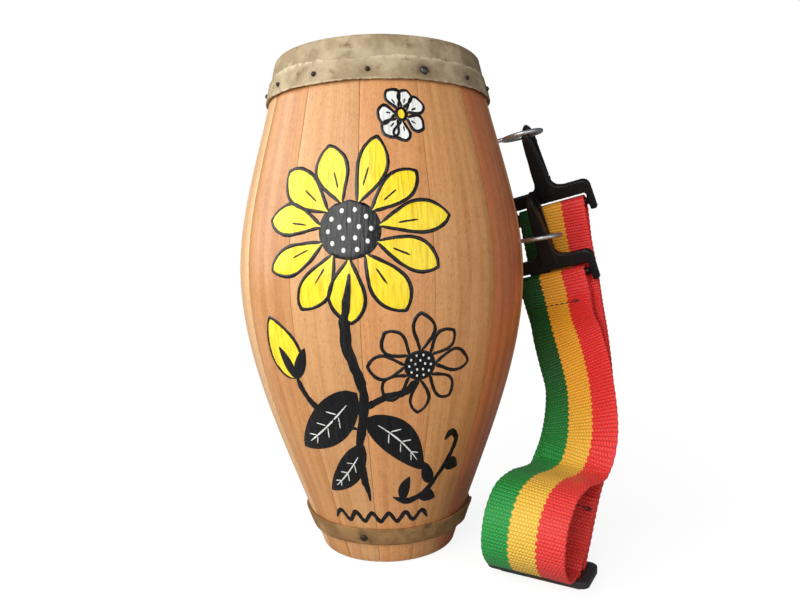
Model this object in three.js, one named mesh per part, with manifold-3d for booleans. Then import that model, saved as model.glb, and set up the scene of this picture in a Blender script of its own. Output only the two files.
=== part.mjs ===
// Candombe drum: a coopered barrel of wooden staves with a tacked rawhide head, a hide hoop at the foot
// and a webbing carrying strap clipped to two screw eyes. Millimetres, +Z up, standing on its foot.
import * as THREE from 'three';
import { mergeVertices } from 'three/addons/utils/BufferGeometryUtils.js';
import Module from 'manifold-3d';

const wasm = await Module();
wasm.setup();

// Fits
const seatGap = 0.3; // between pieces that touch
const holeClearance = 0.3; // round a shank in its hole

// Barrel
const drumHeight = 250; // foot to playing face
const footRadius = 35.5;
const bellyRadius = 73.8;
const rimRadius = 51.9; // outside of the wood at the head
const bellyHeight = 142;
const footFlare = 0.33; // outward run of the wall per millimetre of height, at the foot
const rimLean = 0.18; // inward run of the wall per millimetre of height, at the rim
const wallThickness = 8.5;
const staveCount = 14;
const staveJointAzimuth = -8; // degrees from the front, one joint between two staves

// Rawhide head and its tacking strip
const hideThickness = 0.9;
const headLap = 20.5; // how far the hide laps down the side
const headEdgeRadius = 1.6;
const stripThickness = 0.9;
const stripHeight = 10;
const stripDrop = 11; // playing face to the strip's upper edge
const tackAzimuth = 3.6; // degrees from each stave's joint
const tackRise = 4; // above the strip's lower edge

// Hoop round the foot
const hoopHeight = 8.7;
const hoopThickness = 1.6;
const hoopRise = 11.2; // floor to the hoop's lower edge
const hoopNailCount = 4;
const hoopNailAzimuth = -17;

// Tacks and nails
const tackHeadRadius = 2.4;
const tackHeadHeight = 1.2;
const tackShankRadius = 0.8;
const tackShankLength = 8;

// Screw eyes
const eyeAzimuth = 92;
const eyeRingRadius = 10.2; // to the middle of the wire
const eyeWireRadius = 1.1;
const eyeShankDepth = 7; // driven into the wood
const upperEyeDrop = 39.7; // below the playing face
const eyeSpacing = 53.3; // leaves the upper hook clear above the lower one
const eyes = {
  upper: { height: drumHeight - upperEyeDrop, standOff: 4, tilt: 12 },
  lower: { height: drumHeight - upperEyeDrop - eyeSpacing, standOff: 2.2, tilt: 9 },
};

// Webbing
const strapWidth = 38;
const strapThickness = 1.3;
const strapYaw = 32; // degrees, the strap's width turned from +X towards the front
const layerGap = 0.8; // between two layers that lie together
const foldGap = 0.5; // between a bar and the webbing folded round it

// Snap hooks
const hookLean = 12; // degrees, the foot of the hook leans outward
const slotMargin = 1.6; // beside the webbing in the slot
const frameArm = 3.4;
const armDrop = 1.6; // of the frame's arms below the bar
const frameDepth = 4.4;
const frameCorner = 4;
const barHeight = 4;
const slotHeight = 3.4;
const beamHeight = 7.2;
const shankFootWidth = 9;
const shankNeckWidth = 5.8;
const shankDepth = 5;
const hookOpening = 7.4;
const hookReach = 36.8; // top of the beam to the top of the bend
const bendThickness = 4.6;
const noseThickness = 3;
const noseLength = 4.5; // straight below the bend
const shelfHeight = 4.4;
const shelfLip = 1.6;
const gussetReach = 7; // fillet of the shank onto the beam
const gateWidth = 4.6;
const gateThickness = 1.6;
const wirePlay = 0.7; // wire to the inside of the bend
const hooks = {
  upper: { ringAngle: 55, pitch: 28, hangs: true }, // place on the ring, from outward towards the back
  lower: { ringAngle: 65, pitch: 20, hangs: false },
};
const shelfWirePlay = 5; // wire above the shelf where the hook is pushed up
const shankWirePlay = 1.85; // and from the shank

// Slider lying at the bottom of the strap
const sliderAcross = 90; // place of its middle bar, in the strap's own directions
const sliderBack = -11;
const sliderBarHeight = 3;
const sliderBarDepth = 3.2;
const sliderPitch = 9; // bar to bar
const sliderEndWidth = 4;
const sliderMargin = 0.8; // beside the webbing
const sliderCorner = 4;
const floorClearance = 0.4; // webbing above the floor

const radians = THREE.MathUtils.degToRad;
const vector = (x, y, z) => new THREE.Vector3(x, y, z);
const upward = vector(0, 0, 1);

// Directions: azimuth 0 is the front (-Y) and 90 is +X
function outward(azimuth) {
  const angle = radians(azimuth);
  return vector(Math.sin(angle), -Math.cos(angle), 0);
}

const across = vector(Math.cos(radians(strapYaw)), -Math.sin(radians(strapYaw)), 0);
const back = vector(Math.sin(radians(strapYaw)), Math.cos(radians(strapYaw)), 0);

function strapPoint(alongWidth, towardsBack, height) {
  return vector(0, 0, height).addScaledVector(across, alongWidth).addScaledVector(back, towardsBack);
}

// Barrel profile: a smooth bulge from foot to belly to rim
const woodHeight = drumHeight - hideThickness - seatGap;

function barrelRadius(height) {
  const lower = height < bellyHeight;
  const span = lower ? bellyHeight : woodHeight - bellyHeight;
  const t = lower ? 1 - height / span : (height - bellyHeight) / span;
  const end = lower ? footRadius : rimRadius;
  const slope = (lower ? footFlare : rimLean) * span;
  const bulge = bellyRadius * (2 * t ** 3 - 3 * t ** 2 + 1);
  return bulge + end * (3 * t ** 2 - 2 * t ** 3) + slope * (t ** 2 - t ** 3);
}

function barrelNormalTilt(height) {
  const step = 0.5;
  return Math.atan2(barrelRadius(height - step) - barrelRadius(height + step), 2 * step);
}

// Solids
function finish(geometry) {
  const bare = geometry.index ? geometry.clone() : geometry;
  bare.deleteAttribute('normal');
  bare.deleteAttribute('uv');
  return mergeVertices(bare, 1e-4);
}

function solid(geometry) {
  const bare = finish(geometry);
  const vertProperties = new Float32Array(bare.attributes.position.array);
  const triVerts = new Uint32Array(bare.index.array);
  return new wasm.Manifold(new wasm.Mesh({ numProp: 3, vertProperties, triVerts }));
}

function geometryOf(manifold) {
  const mesh = manifold.getMesh();
  const geometry = new THREE.BufferGeometry();
  geometry.setAttribute('position', new THREE.BufferAttribute(mesh.vertProperties, 3));
  geometry.setIndex(new THREE.BufferAttribute(mesh.triVerts, 1));
  geometry.computeVertexNormals();
  return geometry;
}

const drill = (geometry, tools) =>
  geometryOf(tools.reduce((body, tool) => body.subtract(solid(tool)), solid(geometry)));

const weld = (...geometries) =>
  geometryOf(geometries.map(solid).reduce((whole, piece) => whole.add(piece)));

// A closed body through equal rings of points, given anticlockwise as seen from the last ring
function loft(rings) {
  const size = rings[0].length;
  const position = rings.flat().flatMap((point) => point.toArray());
  const index = [];
  for (let row = 0; row + 1 < rings.length; row += 1) {
    for (let side = 0; side < size; side += 1) {
      const next = (side + 1) % size;
      const [a, b] = [row * size + side, row * size + next];
      index.push(a, b, b + size, a, b + size, a + size);
    }
  }
  const last = (rings.length - 1) * size;
  for (let side = 1; side + 1 < size; side += 1) {
    index.push(0, side + 1, side);
    index.push(last, last + side, last + side + 1);
  }
  const geometry = new THREE.BufferGeometry();
  geometry.setAttribute('position', new THREE.Float32BufferAttribute(position, 3));
  geometry.setIndex(index);
  geometry.computeVertexNormals();
  return geometry;
}

// A body of revolution about Z from points of radius and height
const aroundSides = 4 * staveCount;

function turned(profile, sides = aroundSides) {
  const points = profile.map(([radius, height]) => new THREE.Vector2(radius, height));
  return new THREE.LatheGeometry(points, sides).rotateX(Math.PI / 2);
}

function extruded(shape, depth, curveSegments = 6) {
  return new THREE.ExtrudeGeometry(shape, { depth, curveSegments, bevelEnabled: false });
}

// Turns a body made along Z to stand along a direction at a point
function aim(geometry, point, direction) {
  const turn = new THREE.Quaternion().setFromUnitVectors(upward, direction.clone().normalize());
  return geometry.applyQuaternion(turn).translate(point.x, point.y, point.z);
}

function roundedBox(width, height, corner, bottom = 0) {
  const shape = new THREE.Shape();
  const [x, y] = [width / 2, bottom + height];
  const quarter = Math.PI / 2;
  shape.moveTo(-x + corner, bottom);
  shape.absarc(x - corner, bottom + corner, corner, -quarter, 0);
  shape.absarc(x - corner, y - corner, corner, 0, quarter);
  shape.absarc(-x + corner, y - corner, corner, quarter, 2 * quarter);
  shape.absarc(-x + corner, bottom + corner, corner, 2 * quarter, 3 * quarter);
  return shape;
}

function window(width, bottom, top) {
  const hole = new THREE.Path();
  hole.moveTo(-width / 2, bottom);
  hole.lineTo(-width / 2, top);
  hole.lineTo(width / 2, top);
  hole.lineTo(width / 2, bottom);
  return hole;
}

// Assembly
const drum = new THREE.Group();

function add(name, geometry, finishOf, parent = drum) {
  const mesh = new THREE.Mesh(geometry, new THREE.MeshStandardMaterial(finishOf));
  mesh.name = name;
  parent.add(mesh);
  return mesh;
}

const twoDigits = (number) => String(number).padStart(2, '0');

const finishes = {
  paleWood: { color: 0xd9a878, roughness: 0.4, metalness: 0 },
  darkWood: { color: 0xa86b47, roughness: 0.4, metalness: 0 },
  rawhide: { color: 0xbfab8c, roughness: 0.75, metalness: 0 },
  hoopHide: { color: 0x86643f, roughness: 0.7, metalness: 0 },
  tackSteel: { color: 0x4c4744, roughness: 0.5, metalness: 0.9 },
  zincSteel: { color: 0xb4b6b8, roughness: 0.3, metalness: 1 },
  blackPlastic: { color: 0x19191a, roughness: 0.45, metalness: 0 },
  webbing: { color: 0xe0a13a, roughness: 0.8, metalness: 0 },
};

// Tacks and nails stand on the outermost layer and reach through to the wood
const stripBottom = drumHeight - stripDrop - stripHeight;
const tackHeight = stripBottom + tackRise;
const tackSeat = hideThickness + stripThickness + 3 * seatGap;
const hoopMiddle = hoopRise + hoopHeight / 2;
const hoopSeat = hoopThickness + 2 * seatGap;

function fastenerPlace(azimuth, height, standOff) {
  const tilt = barrelNormalTilt(height);
  const direction = outward(azimuth).multiplyScalar(Math.cos(tilt)).addScaledVector(upward, Math.sin(tilt));
  const onWood = outward(azimuth).multiplyScalar(barrelRadius(height)).setZ(height);
  return { direction, point: onWood.addScaledVector(direction, standOff) };
}

function tackBody() {
  const dome = [0.35, 0.7, 1].map((share) => {
    const angle = (share * Math.PI) / 2;
    return [tackHeadRadius * Math.cos(angle), tackHeadHeight * Math.sin(angle)];
  });
  dome[dome.length - 1][0] = 0;
  const shankTip = [0, -tackShankLength];
  const shankEdge = [tackShankRadius, -tackShankLength + 2 * tackShankRadius];
  return turned([shankTip, shankEdge, [tackShankRadius, 0], [tackHeadRadius, 0], ...dome], 10);
}

function tackHole() {
  const length = 2 * tackShankLength;
  const hole = new THREE.CylinderGeometry(
    tackShankRadius + holeClearance,
    tackShankRadius + holeClearance,
    length,
    8,
  );
  return hole.rotateX(Math.PI / 2).translate(0, 0, seatGap - tackShankLength - holeClearance + length / 2);
}

const staveAngle = 360 / staveCount;
const tacks = [];
for (let i = 0; i < staveCount; i += 1) {
  const azimuth = staveJointAzimuth + i * staveAngle + tackAzimuth;
  tacks.push({ azimuth, name: `head_tack_${twoDigits(i + 1)}`, ...fastenerPlace(azimuth, tackHeight, tackSeat) });
}
const nails = [];
for (let i = 0; i < hoopNailCount; i += 1) {
  const azimuth = hoopNailAzimuth + (i * 360) / hoopNailCount;
  nails.push({ azimuth, name: `hoop_nail_${i + 1}`, ...fastenerPlace(azimuth, hoopMiddle, hoopSeat) });
}
const fasteners = [...tacks, ...nails];
for (const { name, point, direction } of fasteners) {
  add(name, aim(tackBody(), point, direction), finishes.tackSteel);
}

// Screw eyes: a shank in the wood and a ring that stands out from the barrel
function eyeDirections(tilt) {
  const out = outward(eyeAzimuth).multiplyScalar(Math.cos(radians(tilt)));
  out.addScaledVector(upward, Math.sin(radians(tilt)));
  const side = outward(eyeAzimuth + 90);
  return { out, side, axis: out.clone().cross(side).normalize() };
}

function eyePlace({ height, standOff, tilt }) {
  const { out, side, axis } = eyeDirections(tilt);
  const root = outward(eyeAzimuth).multiplyScalar(barrelRadius(height)).setZ(height);
  const centre = root.clone().addScaledVector(out, standOff + eyeRingRadius + eyeWireRadius);
  return { out, side, axis, root, centre };
}

function eyeShank(radius, reach) {
  return new THREE.CylinderGeometry(radius, radius, reach, 10).rotateX(Math.PI / 2);
}

const eyeHoles = [];
for (const [level, eye] of Object.entries(eyes)) {
  const { out, axis, root, centre } = eyePlace(eye);
  const reach = eyeShankDepth + eye.standOff + eyeWireRadius;
  const middle = root.clone().addScaledVector(out, reach / 2 - eyeShankDepth);
  const ring = aim(new THREE.TorusGeometry(eyeRingRadius, eyeWireRadius, 8, 28), centre, axis);
  add(`${level}_screw_eye`, weld(ring, aim(eyeShank(eyeWireRadius, reach), middle, out)), finishes.zincSteel);
  const bore = aim(eyeShank(eyeWireRadius + holeClearance, reach + 2 * holeClearance), middle, out);
  eyeHoles.push({ azimuth: eyeAzimuth, bore });
}

// Staves: planks with a curved face, bowed along the barrel
const staveStations = 12;
const staveFacets = 4;
const darkStaves = [2, 6, 9, 12];

function staveBody(index) {
  const centre = staveJointAzimuth + (index + 0.5) * staveAngle;
  const rings = [];
  for (let station = 0; station <= staveStations; station += 1) {
    const height = (woodHeight * station) / staveStations;
    const outer = barrelRadius(height);
    const inner = outer - wallThickness / Math.cos(barrelNormalTilt(height));
    const arc = (radius, from, facets) => {
      const half = staveAngle / 2 - THREE.MathUtils.radToDeg(seatGap / 2 / radius);
      return Array.from({ length: facets + 1 }, (_, k) =>
        outward(centre + from * half * (1 - (2 * k) / facets)).multiplyScalar(radius).setZ(height));
    };
    rings.push([...arc(outer, -1, staveFacets), ...arc(inner, 1, 2)]);
  }
  return loft(rings);
}

const within = (azimuth, index) => {
  const turn = (azimuth - staveJointAzimuth - index * staveAngle + 720) % 360;
  return turn < staveAngle;
};

for (let i = 0; i < staveCount; i += 1) {
  const bores = fasteners
    .filter(({ azimuth }) => within(azimuth, i))
    .map(({ point, direction }) => aim(tackHole(), point, direction));
  bores.push(...eyeHoles.filter(({ azimuth }) => within(azimuth, i)).map(({ bore }) => bore));
  const finishOf = darkStaves.includes(i) ? finishes.darkWood : finishes.paleWood;
  add(`stave_${twoDigits(i + 1)}`, drill(staveBody(i), bores), finishOf);
}

// Bands that follow the barrel's outside, between two heights
function band(bottom, top, inside, thickness) {
  const inner = (height) => barrelRadius(height) + inside;
  return turned([
    [inner(bottom), bottom],
    [inner(bottom) + thickness, bottom],
    [inner(top) + thickness, top],
    [inner(top), top],
    [inner(bottom), bottom],
  ]);
}

const tackBores = (list) => list.map(({ point, direction }) => aim(tackHole(), point, direction));

// Rawhide head: a flat disc whose edge turns down over the rim
function headBody() {
  const lapBottom = drumHeight - headLap;
  const lapMiddle = stripBottom + stripHeight;
  const inner = (height) => barrelRadius(Math.min(height, woodHeight)) + seatGap;
  const outer = (height) => inner(height) + hideThickness;
  const bendCentre = [outer(woodHeight) - headEdgeRadius, drumHeight - headEdgeRadius];
  const bend = [1, 0.5, 0].map((share) => {
    const angle = (share * Math.PI) / 2;
    return [
      bendCentre[0] + headEdgeRadius * Math.cos(angle),
      bendCentre[1] + headEdgeRadius * Math.sin(angle),
    ];
  });
  return turned([
    [0, drumHeight - hideThickness],
    [inner(woodHeight), drumHeight - hideThickness],
    [inner(lapMiddle), lapMiddle],
    [inner(lapBottom), lapBottom],
    [outer(lapBottom), lapBottom],
    [outer(lapMiddle), lapMiddle],
    ...bend.reverse(),
    [0, drumHeight],
  ]);
}

const stripInside = 2 * seatGap + hideThickness;
const stripBody = band(stripBottom, stripBottom + stripHeight, stripInside, stripThickness);
const hoopBody = band(hoopRise, hoopRise + hoopHeight, seatGap, hoopThickness);
add('rawhide_head', drill(headBody(), tackBores(tacks)), finishes.rawhide);
add('tacking_strip', drill(stripBody, tackBores(tacks)), finishes.rawhide);
add('foot_hoop', drill(hoopBody, tackBores(nails)), finishes.hoopHide);

// Snap hooks, made with X across, Y towards the back and Z up the shank, from the middle of the strap bar
const slotWidth = strapWidth + 2 * slotMargin;
const frameWidth = slotWidth + 2 * frameArm;
const beamBottom = barHeight / 2 + slotHeight;
const beamTop = beamBottom + beamHeight;
const bendRadius = hookOpening / 2;
const bendMiddle = shankDepth / 2 + bendRadius; // from the shank's middle to the bend's centre
const bendRise = beamTop + hookReach - bendThickness - bendRadius;
const noseTip = bendRise - noseLength;
const shelfTop = beamTop + shelfHeight;

const shelfDepth = bendMiddle + bendRadius;

function hookFrame() {
  const frameBottom = -barHeight / 2 - armDrop;
  const shape = roundedBox(frameWidth, beamTop - frameBottom, frameCorner, frameBottom);
  const plate = extruded(shape, frameDepth).rotateX(Math.PI / 2).translate(0, frameDepth / 2, 0);
  const notch = new THREE.BoxGeometry(slotWidth, 2 * frameDepth, 2 * beamBottom);
  const bar = new THREE.CylinderGeometry(barHeight / 2, barHeight / 2, slotWidth + frameArm, 12);
  return weld(drill(plate, [notch]), bar.rotateZ(Math.PI / 2));
}

// Half the shank's width: it narrows from the beam to the neck, and the bend is rounded off to its tip
function shankHalf(height) {
  const shankBottom = beamBottom + beamHeight / 2;
  const up = (height - shankBottom) / (bendRise - shankBottom);
  if (up < 1) return THREE.MathUtils.lerp(shankFootWidth, shankNeckWidth, up) / 2;
  const round = (height - bendRise) / (bendRadius + bendThickness);
  return (shankNeckWidth / 2) * Math.sqrt(1 - 0.75 * round ** 2);
}

function hookBend() {
  const front = -shankDepth / 2;
  const inside = shankDepth / 2;
  const noseBack = inside + hookOpening + noseThickness;
  const shape = new THREE.Shape();
  shape.moveTo(front, beamBottom + beamHeight / 2);
  shape.lineTo(inside, beamBottom + beamHeight / 2);
  shape.lineTo(inside, beamTop);
  shape.lineTo(shelfDepth, shelfTop - shelfLip);
  shape.lineTo(shelfDepth, shelfTop);
  shape.lineTo(inside, shelfTop);
  shape.lineTo(inside, bendRise);
  shape.absarc(bendMiddle, bendRise, bendRadius, Math.PI, 0, true);
  shape.lineTo(noseBack - noseThickness, noseTip);
  shape.lineTo(noseBack, noseTip);
  shape.lineTo(noseBack, bendRise);
  shape.absellipse(
    (front + noseBack) / 2,
    bendRise,
    (noseBack - front) / 2,
    bendRadius + bendThickness,
    0,
    Math.PI,
  );
  const turnUp = new THREE.Matrix4().makeBasis(vector(0, 1, 0), upward, vector(1, 0, 0));
  const bend = extruded(shape, 1, 8).applyMatrix4(turnUp).translate(-0.5, 0, 0);
  const places = bend.getAttribute('position');
  for (let i = 0; i < places.count; i += 1) places.setX(i, 2 * places.getX(i) * shankHalf(places.getZ(i)));
  return bend;
}

function hookGusset() {
  const [low, high] = [shankHalf(beamTop), shankHalf(beamTop + gussetReach)];
  const shape = new THREE.Shape();
  shape.moveTo(-low - gussetReach, beamTop - beamHeight / 2);
  shape.lineTo(low + gussetReach, beamTop - beamHeight / 2);
  shape.lineTo(low + gussetReach, beamTop);
  shape.quadraticCurveTo(low, beamTop, high, beamTop + gussetReach);
  shape.lineTo(-high, beamTop + gussetReach);
  shape.quadraticCurveTo(-low, beamTop, -low - gussetReach, beamTop);
  return extruded(shape, frameDepth).rotateX(Math.PI / 2).translate(0, frameDepth / 2, 0);
}

// The gate is a sprung tongue that stands on the shelf and closes against the inside of the nose
const gateDepth = shelfDepth - seatGap - gateThickness / 2;
const gateFoot = shelfTop + seatGap + gateThickness / 2;
const gateHead = noseTip + noseLength / 2;

function hookGate() {
  const radius = gateThickness / 2;
  const shape = new THREE.Shape();
  shape.absarc(gateDepth, gateFoot, radius, Math.PI, 2 * Math.PI);
  shape.absarc(gateDepth, gateHead, radius, 0, Math.PI);
  const turnUp = new THREE.Matrix4().makeBasis(vector(0, 1, 0), upward, vector(1, 0, 0));
  return extruded(shape, gateWidth).applyMatrix4(turnUp).translate(-gateWidth / 2, 0, 0);
}

// Each hook is threaded on the far side of its ring: the upper one hangs by its bend, and the lower one
// is pushed up by the stiff webbing, so that the wire lies low in its opening.
const bars = {};
for (const [level, { ringAngle, pitch, hangs }] of Object.entries(hooks)) {
  const { out, side, centre } = eyePlace(eyes[level]);
  const wire = centre.clone().addScaledVector(out, eyeRingRadius * Math.cos(radians(ringAngle)));
  wire.addScaledVector(side, eyeRingRadius * Math.sin(radians(ringAngle)));
  const lean = radians(hookLean);
  const width = across.clone().multiplyScalar(Math.cos(lean)).addScaledVector(upward, Math.sin(lean));
  const rise = upward.clone().multiplyScalar(Math.cos(lean)).addScaledVector(across, -Math.sin(lean));
  const depth = back.clone().multiplyScalar(Math.cos(radians(pitch)));
  depth.addScaledVector(rise, Math.sin(radians(pitch)));
  const shank = rise.clone().multiplyScalar(Math.cos(radians(pitch)));
  shank.addScaledVector(back, -Math.sin(radians(pitch)));
  const wireDepth = hangs ? bendMiddle : shankDepth / 2 + shankWirePlay + eyeWireRadius;
  const wireRise = hangs
    ? bendRise + bendRadius - wirePlay - eyeWireRadius
    : shelfTop + shelfWirePlay + eyeWireRadius;
  const place = wire.clone().addScaledVector(shank, -wireRise).addScaledVector(depth, -wireDepth);
  const group = new THREE.Group();
  group.applyMatrix4(new THREE.Matrix4().makeBasis(width, depth, shank).setPosition(place));
  drum.add(group);
  add(`${level}_snap_hook`, weld(hookFrame(), hookBend(), hookGusset()), finishes.blackPlastic, group);
  add(`${level}_hook_gate`, hookGate(), finishes.blackPlastic, group);
  bars[level] = { place, width, depth, shank };
}

// Slider: a flat frame with three bars, lying level under the strap
const loopRadius = Math.hypot(sliderBarDepth, sliderBarHeight) / 2 + foldGap + strapThickness / 2;
const underHeight = floorClearance + strapThickness / 2;
const sliderHeight = underHeight + strapThickness + layerGap + loopRadius;

function sliderBody() {
  const slotWidth = strapWidth + 2 * sliderMargin;
  const width = slotWidth + 2 * sliderEndWidth;
  const length = 2 * sliderPitch + sliderBarDepth;
  const shape = roundedBox(width, length, sliderCorner, -length / 2);
  const edge = sliderPitch - sliderBarDepth / 2;
  shape.holes.push(window(slotWidth, sliderBarDepth / 2, edge));
  shape.holes.push(window(slotWidth, -edge, -sliderBarDepth / 2));
  return extruded(shape, sliderBarHeight).translate(0, 0, -sliderBarHeight / 2);
}

const sliderGroup = new THREE.Group();
const sliderPlace = strapPoint(sliderAcross, sliderBack, sliderHeight);
sliderGroup.applyMatrix4(new THREE.Matrix4().makeBasis(across, back, upward).setPosition(sliderPlace));
drum.add(sliderGroup);
add('strap_slider', sliderBody(), finishes.blackPlastic, sliderGroup);

// Webbing route, one length from end to end. Each station has a place and the direction of the width.
// The upper stations are measured from the lower hook's bar, and the others lie beside the line from the
// slider's middle bar up to it.
const lowerBar = [bars.lower.place.dot(across), bars.lower.place.dot(back), bars.lower.place.z];
const fromHook = (...offset) => lowerBar.map((place, axis) => place + offset[axis]);
const fromSlider = (aside, behind, height) => [sliderAcross + aside, sliderBack + behind, height];
const beside = (share, aside, behind) => fromSlider(
  (lowerBar[0] - sliderAcross) * share + aside,
  (lowerBar[1] - sliderBack) * share + behind,
  lowerBar[2] * share,
);
const hang = [
  { at: fromHook(-0.1, 7.3, 16.3), twist: 0 },
  { at: fromHook(3.4, 6.7, -0.7), twist: 2 },
  { at: fromHook(7.6, -0.2, -17.7), twist: 6 },
  { at: beside(0.716, 11.4, 3.9), twist: 18 },
  { at: beside(0.58, 14.5, 1.1), twist: 22 },
  { at: beside(0.4224, 13.8, -0.9), twist: 16 },
  { at: beside(0.272, 7.8, -0.9), twist: 8 },
  { at: beside(0.1432, 3.4, 0.5), twist: 2 },
  { at: beside(0.0859, 1.6, 0.7), twist: 0 },
];
const hangCut = 4; // station where the lengths of webbing part
const hookTailEnd = 2.4; // stations where the sewn ends stop
const sliderTailEnd = 6;
const halfStep = (strapThickness + layerGap) / 2;
const hangCurve = new THREE.CatmullRomCurve3(hang.map(({ at }) => strapPoint(...at)), false, 'centripetal');

// The direction across the webbing, turned about the upright by a twist in degrees
function twistedAcross(twist) {
  const turn = radians(twist);
  return across.clone().multiplyScalar(Math.cos(turn)).addScaledVector(back, -Math.sin(turn));
}

// A station of a layer that lies in front of the hanging line by an offset, or behind it if negative.
// Where the webbing is skewed, its weft keeps the lean of the hook's bar.
function layer(station, offset, aside = 0, skewed = false) {
  const t = station / (hang.length - 1);
  const along = hangCurve.getTangent(t);
  const [from, to] = [hang[Math.floor(station)], hang[Math.ceil(station)]];
  const level = twistedAcross(THREE.MathUtils.lerp(from.twist, to.twist, station % 1));
  const width = level.clone().addScaledVector(along, -level.dot(along)).normalize();
  const front = along.clone().cross(width);
  const point = hangCurve.getPoint(t).addScaledVector(front, offset).addScaledVector(width, aside);
  if (!skewed) return { point, width, skew: 0 };
  const lean = radians(hookLean);
  return { point, width: level.multiplyScalar(Math.cos(lean)).addScaledVector(upward, Math.sin(lean)), skew: 1 };
}

function free(aside, behind, height, twist = 0) {
  return { point: strapPoint(...fromSlider(aside, behind, height)), width: twistedAcross(twist), skew: 0 };
}

const curlHeight = 0.358 * lowerBar[2];
const byHook = (...offset) => ({ point: strapPoint(...fromHook(...offset)), width: bars.lower.width, skew: 1 });

// Stations round a bar, from one angle to another: 0 is behind it, 90 above and 180 in front
function fold({ place, width, depth, shank }, radius, angles, aside = 0) {
  return angles.map((angle) => {
    const point = place.clone().addScaledVector(width, aside);
    point.addScaledVector(depth, radius * Math.cos(radians(angle)));
    return { point: point.addScaledVector(shank, radius * Math.sin(radians(angle))), width, skew: 0 };
  });
}

const barFold = barHeight / 2 + foldGap + strapThickness / 2;
const barAside = 0.4 - slotMargin; // the webbing has slipped to one end of the lower bar

const sliderBar = { place: sliderPlace, width: across, depth: back, shank: upward };
const nearSlot = sliderBarDepth / 2 - sliderPitch;
const nearBarTop = sliderHeight + sliderBarHeight / 2 + seatGap + strapThickness / 2;
const slotMiddle = (nearSlot - loopRadius - strapThickness / 2) / 2;
const farSlot = loopRadius + strapThickness + layerGap;
const frontStep = 3 * halfStep + strapThickness;
const bottom = hang.length - 1;

const route = {
  front: [
    layer(hookTailEnd, 4.7 * halfStep, -2.6, true),
    layer(2, 4.2 * halfStep, -3.6, true),
    byHook(1.4, 0.1, -8.7),
    ...fold(bars.lower, barFold, [-40, 5, 50, 95, 140], barAside),
    byHook(1.4, -3.7, -8.7),
    layer(2, 6.2 * halfStep, -3.6, true),
    layer(hookTailEnd, 6.7 * halfStep, -2.6, true),
    layer(3, frontStep + halfStep),
    layer(hangCut, frontStep, 3.2),
  ],
  loop: [
    layer(5, frontStep + halfStep, 5.6),
    free(9.4, 18.4, 1.02 * curlHeight, 18),
    free(7.8, 11, 0.99 * curlHeight, 10),
    free(4.3, -3, curlHeight, 2),
    free(2, -14, 0.94 * curlHeight),
    free(0.6, -22, 0.78 * curlHeight),
    free(-0.2, -25, 0.58 * curlHeight),
    free(-0.8, -23.5, 0.38 * curlHeight),
    free(-0.6, -17.4, 10.8),
    free(0, -sliderPitch - sliderBarDepth, nearBarTop + 0.2),
    free(0, -sliderPitch, nearBarTop + 0.2),
    free(0, nearSlot + 0.1, nearBarTop + 0.2),
    free(0, slotMiddle - 0.1, sliderHeight + 1.3),
    free(0, slotMiddle, sliderHeight - 1),
    free(0, slotMiddle + 1.3, underHeight + 1.2),
    free(0, -sliderBarDepth / 2, underHeight),
    free(0, sliderBarDepth / 2, underHeight),
    free(0, farSlot - 1, underHeight + 1.4),
    free(0, farSlot, sliderHeight),
    layer(bottom, -halfStep),
    layer(bottom - 1, -halfStep),
    layer(bottom - 2, -halfStep),
    layer(bottom - 3, -halfStep),
    layer(hangCut, -halfStep),
  ],
  rear: [
    layer(3, -halfStep),
    layer(2, -halfStep),
    layer(1, -halfStep),
    layer(0, -halfStep),
    ...fold(bars.upper, barFold, [-28, 17, 62, 107, 152]),
    layer(0, halfStep),
    layer(1, halfStep),
    layer(2, halfStep),
    layer(3, halfStep),
    layer(hangCut, halfStep),
  ],
  end: [
    layer(bottom - 3, halfStep),
    layer(bottom - 2, halfStep),
    layer(bottom - 1, halfStep),
    layer(bottom, halfStep),
    ...fold(sliderBar, loopRadius, [0, -45, -90, -135, -180]),
    free(0.3, 1 - loopRadius, sliderHeight + 4.6),
    layer(bottom - 1, 3 * halfStep),
    layer(sliderTailEnd, 3 * halfStep),
  ],
};
const stations = Object.values(route).flat();
const routeCurve = new THREE.CatmullRomCurve3(stations.map(({ point }) => point), false, 'centripetal');
const widthCurve = new THREE.CatmullRomCurve3(stations.map(({ width }) => width), false, 'centripetal');
const stationSteps = 5;

function ribbon(first, last) {
  const rings = [];
  const steps = (last - first) * stationSteps;
  for (let step = 0; step <= steps; step += 1) {
    const t = (first + step / stationSteps) / (stations.length - 1);
    const along = routeCurve.getTangent(t);
    const width = widthCurve.getPoint(t);
    const [from, to] = [Math.floor, Math.ceil].map((round) => stations[round(t * (stations.length - 1))].skew);
    const skew = THREE.MathUtils.lerp(from, to, (step / stationSteps) % 1);
    width.addScaledVector(along, -width.dot(along) * (1 - skew)).setLength(strapWidth / 2);
    const face = along.clone().cross(width).setLength(strapThickness / 2);
    const trim = step === 0 ? seatGap / 2 : step === steps ? -seatGap / 2 : 0;
    const middle = routeCurve.getPoint(t).addScaledVector(along, trim);
    const corner = (side, sheet) =>
      middle.clone().addScaledVector(width, side).addScaledVector(face, sheet);
    rings.push([corner(-1, -1), corner(1, -1), corner(1, 1), corner(-1, 1)]);
  }
  return loft(rings);
}

let start = 0;
for (const [name, length] of Object.entries(route)) {
  const last = start === 0 ? length.length - 1 : start + length.length;
  add(`strap_${name}`, ribbon(start, last), finishes.webbing);
  start = last;
}

// The part's own frame: floor under the middle of its outline
const part = new THREE.Group();
part.name = 'candombe_drum';
part.add(drum);
drum.updateMatrixWorld(true);
const middle = new THREE.Box3().setFromObject(drum, true).getCenter(vector(0, 0, 0));
drum.position.set(-middle.x, -middle.y, 0);

export default part;
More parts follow.
